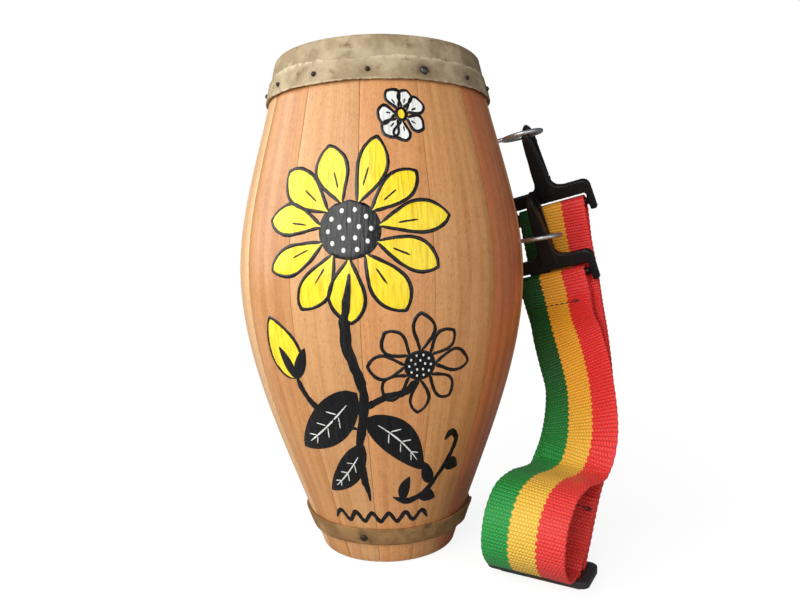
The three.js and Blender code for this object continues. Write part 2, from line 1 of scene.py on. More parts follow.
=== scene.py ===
import bmesh
import bpy
from contextlib import contextmanager
from math import acos, atan2, ceil, cos, degrees, exp, floor, hypot, pi, radians, sin, sqrt
from mathutils import Matrix, Vector, noise


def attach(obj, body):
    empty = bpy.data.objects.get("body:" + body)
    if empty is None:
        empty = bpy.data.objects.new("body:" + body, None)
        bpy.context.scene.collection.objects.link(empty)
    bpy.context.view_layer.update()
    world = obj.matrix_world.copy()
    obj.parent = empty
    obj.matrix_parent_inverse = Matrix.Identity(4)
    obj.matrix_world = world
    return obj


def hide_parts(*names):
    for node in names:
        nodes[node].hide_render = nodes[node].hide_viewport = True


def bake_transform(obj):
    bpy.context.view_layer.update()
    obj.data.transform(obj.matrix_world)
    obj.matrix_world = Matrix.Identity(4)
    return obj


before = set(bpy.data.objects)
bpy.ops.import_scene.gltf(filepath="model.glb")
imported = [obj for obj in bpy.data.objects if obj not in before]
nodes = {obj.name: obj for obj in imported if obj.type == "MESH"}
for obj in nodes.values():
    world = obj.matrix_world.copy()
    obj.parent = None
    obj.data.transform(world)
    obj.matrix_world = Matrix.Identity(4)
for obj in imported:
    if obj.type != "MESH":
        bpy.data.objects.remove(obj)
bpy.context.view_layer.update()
scene = bpy.context.scene
print("frame loaded:", len(nodes), "nodes")


def deselectAll():
    if bpy.context.object and bpy.context.object.mode != "OBJECT":
        bpy.ops.object.mode_set(mode="OBJECT")
    bpy.ops.object.select_all(action="DESELECT")


def selectOnly(piece):
    deselectAll()
    piece.select_set(True)
    bpy.context.view_layer.objects.active = piece


@contextmanager
def editing(piece):  # edit mode with the whole mesh selected
    selectOnly(piece)
    bpy.ops.object.mode_set(mode="EDIT")
    bpy.ops.mesh.select_all(action="SELECT")
    yield
    bpy.ops.object.mode_set(mode="OBJECT")


def newPiece(name):  # takes the primitive that was just added
    piece = bpy.context.object
    piece.name = name
    piece.data.name = name
    return piece


def addObject(name, data):
    piece = bpy.data.objects.new(name, data)
    scene.collection.objects.link(piece)
    return piece


def meshPiece(name, points, edges, faces):
    mesh = bpy.data.meshes.new(name)
    mesh.from_pydata(points, edges, faces)
    return addObject(name, mesh)


def copyPiece(piece, name, matrix):
    twin = addObject(name, piece.data.copy())
    twin.data.name = name
    twin.data.transform(matrix)
    return twin


def applyModifier(piece, kind, **values):
    selectOnly(piece)
    modifier = piece.modifiers.new(kind.lower(), kind)
    for key, value in values.items():
        setattr(modifier, key, value)
    bpy.ops.object.modifier_apply(modifier=modifier.name)


def bevelEdges(piece, width, segments, sharp):
    applyModifier(piece, "BEVEL", width=width, segments=segments, limit_method="ANGLE", angle_limit=radians(sharp))


def smooth(piece, angle):
    selectOnly(piece)
    bpy.ops.object.shade_smooth_by_angle(angle=radians(angle))


def faceOutward(piece):
    with editing(piece):
        bpy.ops.mesh.normals_make_consistent(inside=False)


def cleanMesh(piece, distance=0.00001):
    with editing(piece):
        bpy.ops.mesh.remove_doubles(threshold=distance)
        bpy.ops.mesh.normals_make_consistent(inside=False)


def addUvs(piece, name, places):  # one place for each vertex
    layer = piece.data.uv_layers.new(name=name)
    for loop in piece.data.loops:
        layer.data[loop.index].uv = places[loop.vertex_index]


def finishPiece(piece, material, body, slot, *replaced):
    piece.data.materials.clear()
    piece.data.materials.append(material)
    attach(piece, body)
    if replaced:
        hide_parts(*replaced)


def clamped(value):
    return min(max(value, 0), 1)


def tint(red, green, blue):
    def linear(value):
        share = value / 255
        return share / 12.92 if share <= 0.04045 else ((share + 0.055) / 1.055) ** 2.4
    return (linear(red), linear(green), linear(blue), 1)


class Net:  # makes and links the nodes of one tree
    def __init__(self, tree):
        self.tree = tree

    def feed(self, sockets, values):  # an output is linked, and any other value is set
        for name, value in values.items():
            if isinstance(value, bpy.types.NodeSocket):
                self.tree.links.new(value, sockets[name])
            else:
                sockets[name].default_value = value

    def add(self, kind, inputs=None, **settings):
        node = self.tree.nodes.new("ShaderNode" + kind)
        for name, value in settings.items():
            setattr(node, name, value)
        self.feed(node.inputs, inputs or {})
        return node.outputs

    def math(self, operation, *values, clamp=False):
        return self.add("Math", dict(enumerate(values)), operation=operation, use_clamp=clamp)[0]

    def times(self, value, factor, clamp=False):
        return self.math("MULTIPLY", value, factor, clamp=clamp)

    def timesAdd(self, value, factor, offset, clamp=False):
        return self.math("MULTIPLY_ADD", value, factor, offset, clamp=clamp)

    def mix(self, factor, first, second, blend="MIX"):
        return self.add("Mix", {0: factor, 6: first, 7: second}, data_type="RGBA", blend_type=blend)[2]

    def noise(self, vector, scale, detail=3, roughness=0.55):
        if isinstance(scale, tuple):
            vector, scale = self.add("VectorMath", {0: vector, 1: scale}, operation="MULTIPLY")[0], 1.0
        inputs = {"Vector": vector, "Scale": scale, "Detail": detail, "Roughness": roughness}
        return self.add("TexNoise", inputs)["Fac"]

    def between(self, value, low, high, out0=0.0, out1=1.0):
        inputs = {"Value": value, "From Min": low, "From Max": high, "To Min": out0, "To Max": out1}
        return self.add("MapRange", inputs, interpolation_type="SMOOTHSTEP")["Result"]

    def bump(self, sockets, height, distance, strength=1.0):
        inputs = {"Height": height, "Distance": distance, "Strength": strength}
        self.feed(sockets, {"Normal": self.add("Bump", inputs)["Normal"]})


def newGroup(name, inputs):
    group = bpy.data.node_groups.new(name, "ShaderNodeTree")
    outputs = {"Color": "Color", "Roughness": "Float", "Height": "Float"}
    for side, labels in (("INPUT", inputs), ("OUTPUT", outputs)):
        for label, kind in labels.items():
            group.interface.new_socket(label, in_out=side, socket_type="NodeSocket" + kind)
    entry, leave = group.nodes.new("NodeGroupInput"), group.nodes.new("NodeGroupOutput")
    return Net(group), entry.outputs, leave.inputs


def newMaterial(name):
    material = bpy.data.materials.new(name)
    material.use_nodes = True
    net = Net(material.node_tree)
    return material, net, net.tree.nodes["Principled BSDF"].inputs, net.add("TexCoord")


def groupMaterial(name, group, space, inputs, constants, depth, strength):
    material, net, sockets, coordinates = newMaterial(name)
    look = net.add("Group", {"Vector": coordinates[space], **inputs}, node_tree=group)
    net.feed(sockets, {"Base Color": look["Color"], "Roughness": look["Roughness"], **constants})
    net.bump(sockets, look["Height"], depth, strength)
    return material


# camera where the photograph was taken, in metres and degrees
cameraView = {"across": -0.022785, "towards": -0.340573, "height": 0.1539, "lens": 29.32, "sensor": 36,
              "yaw": 1.47, "pitch": 4.34, "roll": -1.34, "nearest": 0.01}


def makeCamera(view):
    turn = Matrix.Rotation(radians(-view["yaw"]), 4, "Z")
    turn = turn @ Matrix.Rotation(radians(90 - view["pitch"]), 4, "X")
    turn = turn @ Matrix.Rotation(radians(view["roll"]), 4, "Z")
    place = (view["across"], view["towards"], view["height"])
    deselectAll()
    bpy.ops.object.camera_add(location=place, rotation=turn.to_euler())
    camera = bpy.context.object
    camera.data.lens = view["lens"]
    camera.data.sensor_width = view["sensor"]
    camera.data.clip_start = view["nearest"]
    scene.camera = camera


makeCamera(cameraView)
scene.view_settings.view_transform = "Standard"

# soft light from the left, and a pale room
studio = {"lamps": [("windowLamp", (-0.62, -0.88, 0.55), 0.9, 12.0), ("sideLamp", (-0.95, 0.05, 0.5), 0.8, 7.0),
                    ("fillLamp", (0.5, -0.9, 0.25), 0.8, 3.0)],
          "aim": (-0.01, 0.0, 0.12), "room": 0.3, "gloss": 0.12, "floorSize": 6.0, "floorHeight": -0.0006,
          "bounce": 0.35, "glow": 0.86, "veil": 0.24, "fadeFrom": 0.16, "fadeTo": 0.4}
plainWhite = (1, 1, 1, 1)


def clearNet(owner):
    owner.use_nodes = True
    owner.node_tree.nodes.clear()
    return Net(owner.node_tree)


def splitLight(net, rays, lit, seen, output):  # one shader lights the object, and the other is seen
    direct = net.math("MAXIMUM", rays["Is Camera Ray"], rays["Is Transmission Ray"])
    mixed = net.add("MixShader", {0: direct, 1: lit[0], 2: seen[0]})
    net.feed(net.tree.nodes.new(output).inputs, {"Surface": mixed[0]})


def makeLamps(settings):
    for name, place, size, power in settings["lamps"]:
        facing = (Vector(settings["aim"]) - Vector(place)).to_track_quat("-Z", "Y").to_euler()
        deselectAll()
        bpy.ops.object.light_add(type="AREA", location=place, rotation=facing)
        lamp = bpy.context.object
        lamp.name = name
        lamp.data.size = size
        lamp.data.energy = power


def makeRoom(settings):
    scene.world = bpy.data.worlds.new("paleRoom")
    net = clearNet(scene.world)
    rays = net.add("LightPath")
    strength = net.timesAdd(rays["Is Glossy Ray"], settings["gloss"] - settings["room"], settings["room"])
    lit = net.add("Background", {"Color": plainWhite, "Strength": strength})
    seen = net.add("Background", {"Color": plainWhite, "Strength": 1.0})
    splitLight(net, rays, lit, seen, "ShaderNodeOutputWorld")


def makeFloor(settings):
    deselectAll()
    bpy.ops.mesh.primitive_plane_add(size=settings["floorSize"], location=(0, 0, settings["floorHeight"]))
    floor = newPiece("paleFloor")
    bpy.ops.object.transform_apply(location=True)
    material = bpy.data.materials.new("paleFloor")
    net = clearNet(material)
    lit, veil = (net.add("BsdfDiffuse", {"Color": (grey, grey, grey, 1)})
                 for grey in (settings["bounce"], settings["veil"]))
    glow = net.add("Emission", {"Color": plainWhite, "Strength": settings["glow"]})
    near = net.add("AddShader", {0: glow[0], 1: veil[0]})
    far = net.add("Emission", {"Color": plainWhite, "Strength": 1.0})
    away = net.add("VectorMath", {0: net.add("TexCoord")["Object"]}, operation="LENGTH")["Value"]
    fade = net.between(away, settings["fadeFrom"], settings["fadeTo"])
    seen = net.add("MixShader", {0: fade, 1: near[0], 2: far[0]})
    splitLight(net, net.add("LightPath"), lit, seen, "ShaderNodeOutputMaterial")
    floor.data.materials.append(material)


makeLamps(studio)
makeRoom(studio)
makeFloor(studio)
print("camera, light and floor set")

# barrel of bowed staves, in metres and degrees
barrel = {"axis": (-0.022785, 0.007529), "foot": 0.0355, "belly": 0.0738, "rim": 0.0519,
          "bellyHeight": 0.142, "woodHeight": 0.2485, "footFlare": 0.33, "rimLean": 0.18,
          "wall": 0.0085, "staveCount": 14, "firstJoint": -8, "jointGap": 0.0001, "rows": 48, "columns": 6,
          "edgeRound": 0.0003, "darkStaves": (2, 6, 9, 12), "grainRadius": 0.065, "grainShift": (0.173, 0.41)}
staveTones = {"paleStave": ((212, 160, 108), (186, 129, 77)), "brownStave": ((218, 157, 102), (186, 120, 69)),
              "tanStave": ((210, 153, 98), (178, 117, 66)), "amberStave": ((203, 147, 93), (174, 112, 62)),
              "darkStave": ((194, 117, 73), (154, 85, 49)), "blondStave": ((222, 180, 132), (198, 147, 98))}
staveOrder = ["brownStave", "tanStave", "darkStave", "brownStave", "tanStave", "brownStave", "darkStave",
              "paleStave", "tanStave", "darkStave", "brownStave", "blondStave", "amberStave", "paleStave"]


def barrelRadius(height):
    lower = height < barrel["bellyHeight"]
    span = barrel["bellyHeight"] if lower else barrel["woodHeight"] - barrel["bellyHeight"]
    t = 1 - height / span if lower else (height - barrel["bellyHeight"]) / span
    end = barrel["foot"] if lower else barrel["rim"]
    slope = (barrel["footFlare"] if lower else barrel["rimLean"]) * span
    bulge = barrel["belly"] * (2 * t ** 3 - 3 * t ** 2 + 1)
    return bulge + end * (3 * t ** 2 - 2 * t ** 3) + slope * (t ** 2 - t ** 3)


def barrelTilt(height, step=0.0005):
    return atan2(barrelRadius(height - step) - barrelRadius(height + step), 2 * step)


def outward(azimuth):
    return Vector((sin(radians(azimuth)), -cos(radians(azimuth)), 0))


def fromAxis(azimuth, radius, height):
    return Vector((*barrel["axis"], height)) + outward(azimuth) * radius


def barrelNormal(azimuth, height):
    tilt = barrelTilt(height)
    return outward(azimuth) * cos(tilt) + Vector((0, 0, sin(tilt)))


def onBarrel(azimuth, height, lift=0.0):
    tilt = barrelTilt(height)
    return fromAxis(azimuth, barrelRadius(height) + lift * cos(tilt), height + lift * sin(tilt))


def offAxis(point):
    return point[0] - barrel["axis"][0], point[1] - barrel["axis"][1]


def azimuthOf(point):
    across, away = offAxis(point)
    return degrees(atan2(across, -away))


def turnAboutAxis(angle):
    middle = Matrix.Translation((*barrel["axis"], 0))
    return middle @ Matrix.Rotation(radians(angle), 4, "Z") @ middle.inverted()


def spinAboutAxis(piece, steps, angle):
    with editing(piece):
        bpy.ops.mesh.spin(steps=steps, angle=radians(angle), center=(*barrel["axis"], 0), axis=(0, 0, 1))


def makeGrainGroup():
    net, entry, leave = newGroup("staveGrain", {"Vector": "Vector", "Pale": "Color", "Deep": "Color"})
    along = entry["Vector"]
    slanted = net.add("VectorRotate", {"Vector": along, "Angle": 0.5}, rotation_type="Z_AXIS")[0]
    fibre = net.noise(along, (1500, 42, 1), 4, 0.65)
    streak = net.noise(along, (210, 5, 1), 3, 0.6)
    cloud = net.noise(along, (38, 14, 1))
    fleck = net.noise(slanted, (1100, 330, 1), 2, 0.5)
    curl = net.noise(slanted, (150, 240, 1), 4, 0.65)
    pore = net.between(net.noise(along, (3300, 430, 1), 1), 0.60, 0.74)
    amount = net.times(net.between(streak, 0.36, 0.68), 0.5)
    for mark, low, high, weight in ((fibre, 0.35, 0.7, 0.32), (cloud, 0.4, 0.75, 0.25),
                                    (fleck, 0.5, 0.68, 0.22), (curl, 0.42, 0.66, 0.14)):
        amount = net.timesAdd(net.between(mark, low, high), weight, amount)
    amount = net.math("SUBTRACT", amount, 0.16, clamp=True)
    colour = net.mix(amount, entry["Pale"], entry["Deep"])
    dark = net.mix(1.0, colour, (0.5, 0.42, 0.36, 1), "MULTIPLY")
    net.feed(leave, {"Color": net.mix(net.times(pore, 0.7), colour, dark),
                     "Roughness": net.timesAdd(streak, 0.16, 0.3),
                     "Height": net.math("SUBTRACT", net.times(fibre, 0.5), pore)})
    return net.tree


def makeWood(group):
    varnish = {"Specular IOR Level": 0.35, "Coat Weight": 0.1, "Coat Roughness": 0.3}
    return {name: groupMaterial(name, group, "UV", {"Pale": tint(*pale), "Deep": tint(*deep)}, varnish, 0.00006, 0.7)
            for name, (pale, deep) in staveTones.items()}


def makeFirstStave(angle):
    gap = degrees(barrel["jointGap"] / barrel["belly"])
    deselectAll()
    bpy.ops.mesh.primitive_grid_add(x_subdivisions=1, y_subdivisions=barrel["rows"], size=1, calc_uvs=False)
    stave = newPiece("staveModel")
    for vertex in stave.data.vertices:
        height = (vertex.co.y + 0.5) * barrel["woodHeight"]
        depth = 0 if vertex.co.x > 0 else barrel["wall"] / cos(barrelTilt(height))
        vertex.co = fromAxis(barrel["firstJoint"] + angle - gap / 2, barrelRadius(height) - depth, height)
    spinAboutAxis(stave, barrel["columns"], angle - gap)  # runs back to the first joint
    cleanMesh(stave)
    bevelEdges(stave, barrel["edgeRound"], 2, 50)
    smooth(stave, 40)
    places = []
    for vertex in stave.data.vertices:
        turn = radians(azimuthOf(vertex.co) - barrel["firstJoint"])
        surface = barrelRadius(min(max(vertex.co.z, 0), barrel["woodHeight"]))
        depth = surface - hypot(*offAxis(vertex.co))
        places.append((turn * barrel["grainRadius"] + depth, vertex.co.z))
    addUvs(stave, "grain", places)
    return stave


def makeStaves(woods):
    angle = 360 / barrel["staveCount"]
    across, along = barrel["grainShift"]
    first = makeFirstStave(angle)
    for index, tone in enumerate(staveOrder):
        node = f"stave_{index + 1:02d}"
        piece = copyPiece(first, f"{node}_plank", turnAboutAxis(index * angle))
        for corner in piece.data.uv_layers["grain"].data:
            corner.uv = (corner.uv[0] + across * index, corner.uv[1] + along * index)
        slot = "dark_wood" if index in barrel["darkStaves"] else "pale_wood"
        finishPiece(piece, woods[tone], "drum", slot, node)
    bpy.data.objects.remove(first)


makeStaves(makeWood(makeGrainGroup()))
print("staves made")

# rawhide head, its tacked strip, and the hoop at the foot; a swell is a list of sizes and rates
hide = {"top": 0.25, "thickness": 0.0009, "lap": 0.0205, "edgeRound": 0.0026, "seat": 0.0001, "dish": 0.0005,
        "discRings": 12, "bendSteps": 6, "lapRows": 9, "underInset": 0.0012,
        "around": 336, "leastSwell": -0.0002, "dent": 0.0004, "dentReach": 0.0032,
        "tackStain": 0.0026, "brightStain": 0.0036, "nailStain": 0.0028, "frayedShare": 0.14,
        "shadeFrom": 5, "shadeRamp": 60, "shadeTo": 150, "shadeFade": 50,
        "headSwell": ((0.0003, 90), (0.00035, 35)), "stripSwell": ((0.00035, 75), (0.0002, 190)),
        "hoopSwell": ((0.0002, 110),), "stripWave": 0.0009, "stripRagged": 0.0003,
        "hoopWave": 0.0005, "hoopRagged": 0.00015, "lapFrom": 58, "lapTo": 84, "lapRamp": 14, "lapRise": 0.0013,
        "strip": {"bottom": 0.229, "height": 0.010, "thick": 0.0008, "rows": 10, "crown": 0.12,
                  "lip": 0.0004, "hem": 0.0002},
        "hoop": {"bottom": 0.0112, "height": 0.0087, "thick": 0.0016, "rows": 8, "crown": 0.06,
                 "lip": 0.0003, "hem": 0.0003}}
hideTones = {"dryRawhide": ((192, 173, 140), (158, 138, 105), (106, 88, 60), 60.0),
             "brownHoopHide": ((168, 130, 84), (138, 103, 62), (96, 70, 42), 70.0)}
tackPlan = {"count": 14, "first": -4.4, "height": 0.233, "radius": 0.0019, "rise": 0.0011, "shank": 0.004,
            "nailCount": 4, "nailFirst": -17, "nailHeight": 0.01555, "bright": 1, "brim": 0.0003, "sunk": 0.0001,
            "shares": (0.55, 0.62, 0.5, 0.66), "uneven": 0.07, "unevenRate": 900, "inset": 0.58, "point": 0.3,
            "tackTurn": 1.9, "nailTurn": 2.3}


def spread(first, count):
    return [first + k * (360 / count) for k in range(count)]


tackAngles = spread(tackPlan["first"], tackPlan["count"])
nailAngles = spread(tackPlan["nailFirst"], tackPlan["nailCount"])


def latheBody(name, profile, closed):
    points = [fromAxis(0, radius, height) for radius, height in profile]
    edges = [(k, k + 1) for k in range(len(points) - 1)]
    if closed:
        edges.append((len(points) - 1, 0))
    piece = meshPiece(name, points, edges, [])
    spinAboutAxis(piece, hide["around"], 360)
    cleanMesh(piece, 0.000002)
    return piece


def bandBody(name, band, inside):
    bottom, height, thick, rows = (band[key] for key in ("bottom", "height", "thick", "rows"))
    outer = [(barrelRadius(bottom + height * k / rows) + inside + thick * (1 + band["crown"] * sin(pi * k / rows)),
              bottom + height * k / rows) for k in range(rows + 1)]
    lip = [(barrelRadius(bottom + height) + inside + thick * 0.5, bottom + height + band["lip"])]
    inner = [(barrelRadius(bottom + height * k / 4) + inside, bottom + height * k / 4) for k in (4, 2, 0)]
    hem = [(barrelRadius(bottom) + inside + thick * 0.5, bottom - band["hem"])]
    return latheBody(name, outer + lip + inner + hem, True)


def waver(azimuth, seed, turns):
    return noise.noise(outward(azimuth) * turns + Vector((0, 0, seed)))


def swellAt(place, waves):
    return sum(size * noise.noise(place * rate) for size, rate in waves)


def makeHideGroup():
    net, entry, leave = newGroup("hideMottle", {"Vector": "Vector", "Light": "Color", "Middle": "Color",
                                                "Shade": "Color", "Scale": "Float"})
    blotch = net.noise(entry["Vector"], entry["Scale"], 4, 0.6)
    cloud = net.noise(entry["Vector"], (130, 130, 190), 4, 0.65)
    fine = net.noise(entry["Vector"], (1900, 1900, 1500), 3, 0.6)
    colour = net.mix(net.between(blotch, 0.4, 0.62), entry["Middle"], entry["Light"])
    colour = net.mix(net.between(cloud, 0.55, 0.74, 0.0, 0.75), colour, entry["Shade"])
    net.feed(leave, {"Color": net.mix(net.times(fine, 0.3), colour, entry["Shade"]),
                     "Roughness": net.between(cloud, 0.3, 0.7, 0.62, 0.8),
                     "Height": net.timesAdd(cloud, 0.7, net.times(fine, 0.3))})
    return net.tree


def makeHides(group):
    hides = {}
    for name, (light, middle, shade, scale) in hideTones.items():
        hides[name], net, sockets, coordinates = newMaterial(name)
        inputs = {"Vector": coordinates["Object"], "Light": tint(*light), "Middle": tint(*middle),
                  "Shade": tint(*shade), "Scale": scale}
        mottle = net.add("Group", inputs, node_tree=group)
        # the stain attribute holds real stains and painted shade, both darkening towards the same brown
        stainAndShade, fray = (net.add("Attribute", attribute_name=mark)["Fac"] for mark in ("stainAndShade", "fray"))
        blot = net.noise(coordinates["Object"], 420.0)
        stainAndShade = net.times(stainAndShade, net.between(blot, 0.3, 0.62, 0.25, 1.0), clamp=True)
        fray = net.times(fray, net.between(blot, 0.35, 0.6), clamp=True)
        colour = net.mix(net.times(fray, 0.7), mottle["Color"], tint(214, 198, 168))
        net.feed(sockets, {"Base Color": net.mix(stainAndShade, colour, tint(66, 54, 44)),
                           "Roughness": mottle["Roughness"], "Specular IOR Level": 0.3})
        net.bump(sockets, mottle["Height"], 0.0003, 0.6)
    return hides


def nearTack(point, height, angles, reach):
    azimuth = azimuthOf(point)
    nearest = min(abs((azimuth - angle + 180) % 360 - 180) for angle in angles)
    away = hypot(radians(nearest) * hypot(*offAxis(point)), point[2] - height)
    return exp(-(away / reach) ** 2)


# painted shade on the side away from the lamps
def rightSideShade(point):  # the hide is greyer from the middle round to the right
    azimuth = azimuthOf(point)
    start = clamped((azimuth - hide["shadeFrom"]) / hide["shadeRamp"])
    return start * clamped((hide["shadeTo"] - azimuth) / hide["shadeFade"])


def finishHide(piece, material, slot, node, stainAndShadeAt, frayAt=lambda point: 0.0):
    for name, amountAt in (("stainAndShade", stainAndShadeAt), ("fray", frayAt)):
        amounts = piece.data.attributes.new(name, "FLOAT", "POINT")
        for vertex in piece.data.vertices:
            amounts.data[vertex.index].value = amountAt(vertex.co)
    smooth(piece, 50)
    finishPiece(piece, material, "drum", slot, node)


def makeHead(material):
    top, thick, seat, turn = hide["top"], hide["thickness"], hide["seat"], hide["edgeRound"]
    rim = barrelRadius(barrel["woodHeight"]) + seat
    stripTop = hide["strip"]["bottom"] + hide["strip"]["height"]
    rings, bends, rows = hide["discRings"], hide["bendSteps"], hide["lapRows"]
    disc = [(rim * k / rings, top) for k in range(rings)]
    bend = [(rim + thick - turn + turn * sin(a), top - turn + turn * cos(a))
            for a in [radians(90 * step / bends) for step in range(bends + 1)]]
    heights = [top - turn - (hide["lap"] - turn) * k / rows for k in range(1, rows + 1)]
    wood = [barrelRadius(min(height, barrel["woodHeight"])) + seat for height in heights]
    outer = [(radius + thick, height) for radius, height in zip(wood, heights)]
    inner = list(zip(wood, heights))[::-1]
    under = [(radius, top - thick) for radius in (rim - hide["underInset"], rim * 0.6, rim * 0.3, 0)]
    piece = latheBody("rawhide_skin", disc + bend + outer + inner + under, False)
    for vertex in piece.data.vertices:
        place, out = vertex.co.copy(), Vector((*offAxis(vertex.co), 0))
        share = out.length / rim
        if place.z > top - turn * 0.5 and share < 0.97:
            vertex.co.z -= hide["dish"] * (1 - share ** 2) * (1 + 0.5 * noise.noise(place * 60))
        elif share > 0.95 and place.z > stripTop + 0.001:
            vertex.co += out.normalized() * max(swellAt(place, hide["headSwell"]), hide["leastSwell"])
    # random stains, and painted shade towards the right side
    finishHide(piece, material, "rawhide", "rawhide_head",
               lambda point: 0.4 * max(0, noise.noise(point * 120)) + 0.42 * rightSideShade(point))


def makeStrip(material):
    band, tackHeight = hide["strip"], tackPlan["height"]
    bottom, height, thick = band["bottom"], band["height"], band["thick"]
    inside = 2 * hide["seat"] + hide["thickness"]
    piece = bandBody("tacked_strip", band, inside)
    for vertex in piece.data.vertices:
        place, out = vertex.co.copy(), Vector((*offAxis(vertex.co), 0))
        share, azimuth = (place.z - bottom) / height, azimuthOf(place)
        wave = waver(azimuth, 2, 2.2) + 0.5 * waver(azimuth, 5, 7) + 0.25 * waver(azimuth, 9, 30)
        ragged = waver(azimuth, 14, 5) + waver(azimuth, 17, 26)
        rise = hide["stripWave"] * wave * max(share, 0) ** 2 * 1.6
        vertex.co.z += rise + hide["stripRagged"] * ragged * max(1 - share, 0) ** 2
        if out.length > barrelRadius(min(place.z, barrel["woodHeight"])) + inside + thick * 0.3:
            dent = hide["dent"] * nearTack(place, tackHeight, tackAngles, hide["dentReach"])
            vertex.co += out.normalized() * (max(swellAt(place, hide["stripSwell"]), hide["leastSwell"]) - dent)

    brightAngle = [tackAngles[tackPlan["bright"]]]

    # real stains about the tacks, with painted shade towards the right side
    def stainAndShadeAt(point):  # darkest about the bright tack
        return (0.6 * nearTack(point, tackHeight, tackAngles, hide["tackStain"]) + 0.3 * rightSideShade(point)
                + 0.5 * nearTack(point, tackHeight, brightAngle, hide["brightStain"]))

    def frayAt(point):
        frayed = height * hide["frayedShare"]
        upper = max(0.0, (point[2] - bottom - height + frayed) / frayed)
        return upper + (1.0 if point[2] < bottom + 0.0001 else 0)

    finishHide(piece, material, "rawhide", "tacking_strip", stainAndShadeAt, frayAt)


def makeHoop(material):
    band, nailHeight = hide["hoop"], tackPlan["nailHeight"]
    piece = bandBody("hide_hoop", band, hide["seat"])
    for vertex in piece.data.vertices:
        place, out = vertex.co.copy(), Vector((*offAxis(vertex.co), 0))
        azimuth = azimuthOf(place)
        vertex.co.z += hide["hoopWave"] * waver(azimuth, 31, 2.4) + hide["hoopRagged"] * waver(azimuth, 37, 20)
        if out.length > barrelRadius(place.z) + hide["seat"] + band["thick"] * 0.3:
            dent = hide["dent"] * nearTack(place, nailHeight, nailAngles, hide["dentReach"])
            lap = hide["lapRise"] * clamped((azimuth - hide["lapFrom"]) / hide["lapRamp"])
            lap = lap if azimuth < hide["lapTo"] else 0
            vertex.co += out.normalized() * (swellAt(place, hide["hoopSwell"]) - dent + lap)
    finishHide(piece, material, "hoop_hide", "foot_hoop",
               lambda point: 0.8 * nearTack(point, nailHeight, nailAngles, hide["nailStain"]))


hides = makeHides(makeHideGroup())
makeHead(hides["dryRawhide"])
makeStrip(hides["dryRawhide"])
makeHoop(hides["brownHoopHide"])
print("head, strip and hoop made")

# metals and moulded plastic: base, worn tone, share worn, metallic, bump in metres
hardwareTones = {"dullTack": ((88, 84, 82), (150, 146, 140), 0.8, 0.85, 0.00012),
                 "rustyNail": ((64, 52, 45), (112, 88, 70), 0.9, 0.6, 0.00018),
                 "brightZinc": ((206, 208, 210), (160, 160, 158), 0.5, 1.0, 0.00003),
                 "blackMoulding": ((9, 9, 10), (34, 34, 35), 0.5, 0.0, 0.00005),
                 "greyMoulding": ((46, 47, 48), (96, 94, 92), 0.36, 0.0, 0.00005)}


def makeScuffGroup():
    net, entry, leave = newGroup("handledScuff", {"Vector": "Vector", "Base": "Color", "Worn": "Color",
                                                  "Amount": "Float"})
    broad = net.noise(entry["Vector"], (170, 170, 120), 4)
    fine = net.noise(entry["Vector"], (2600, 2600, 2100), 2)
    scratch = net.noise(entry["Vector"], (400, 3800, 500), 2)
    worn = net.times(net.between(broad, 0.5, 0.8), net.between(scratch, 0.45, 0.7))
    worn = net.times(worn, entry["Amount"], clamp=True)
    net.feed(leave, {"Color": net.mix(worn, entry["Base"], entry["Worn"]),
                     "Roughness": net.timesAdd(worn, 0.2, net.timesAdd(broad, 0.22, 0.3)),
                     "Height": net.timesAdd(scratch, 0.3, fine)})
    return net.tree


def makeHardwareFinishes(group):
    finishes = {}
    for name, (base, worn, amount, metallic, depth) in hardwareTones.items():
        inputs = {"Base": tint(*base), "Worn": tint(*worn), "Amount": amount}
        surface = {"Metallic": metallic, "Specular IOR Level": 0.35}
        finishes[name] = groupMaterial(name, group, "Object", inputs, surface, depth, 0.6)
    return finishes


def standOn(azimuth, height, lift, turn):
    facing = barrelNormal(azimuth, height).to_track_quat("Z", "Y").to_matrix().to_4x4()
    return Matrix.Translation(onBarrel(azimuth, height, lift)) @ facing @ Matrix.Rotation(turn, 4, "Z")


def makeFirstTack():
    radius = tackPlan["radius"]
    deselectAll()
    bpy.ops.mesh.primitive_uv_sphere_add(segments=18, ring_count=12, radius=radius, calc_uvs=False)
    tack = newPiece("tackModel")
    with editing(tack):
        bpy.ops.mesh.bisect(plane_co=(0, 0, 0), plane_no=(0, 0, 1), use_fill=True, clear_inner=True)
        bpy.ops.mesh.select_all(action="SELECT")
        bpy.ops.transform.resize(value=(1, 1, tackPlan["rise"] / radius), center_override=(0, 0, 0))
        bpy.ops.mesh.select_mode(type="FACE")
        bpy.ops.mesh.select_all(action="DESELECT")
    for face in tack.data.polygons:  # only the flat underside
        face.select = face.normal.z < -0.9
    bpy.ops.object.mode_set(mode="EDIT")
    bpy.ops.mesh.extrude_region_move(TRANSFORM_OT_translate={"value": (0, 0, -tackPlan["brim"])})
    bpy.ops.mesh.inset(thickness=radius * tackPlan["inset"])
    bpy.ops.mesh.extrude_region_move(TRANSFORM_OT_translate={"value": (0, 0, -tackPlan["shank"])})
    bpy.ops.transform.resize(value=[tackPlan["point"]] * 3)
    bpy.ops.mesh.select_mode(type="VERT")
    bpy.ops.object.mode_set(mode="OBJECT")
    for vertex in tack.data.vertices:  # hammered, not quite round
        if vertex.co.z > -0.0005:
            vertex.co *= 1 + tackPlan["uneven"] * noise.noise(vertex.co * tackPlan["unevenRate"])
    smooth(tack, 45)
    return tack


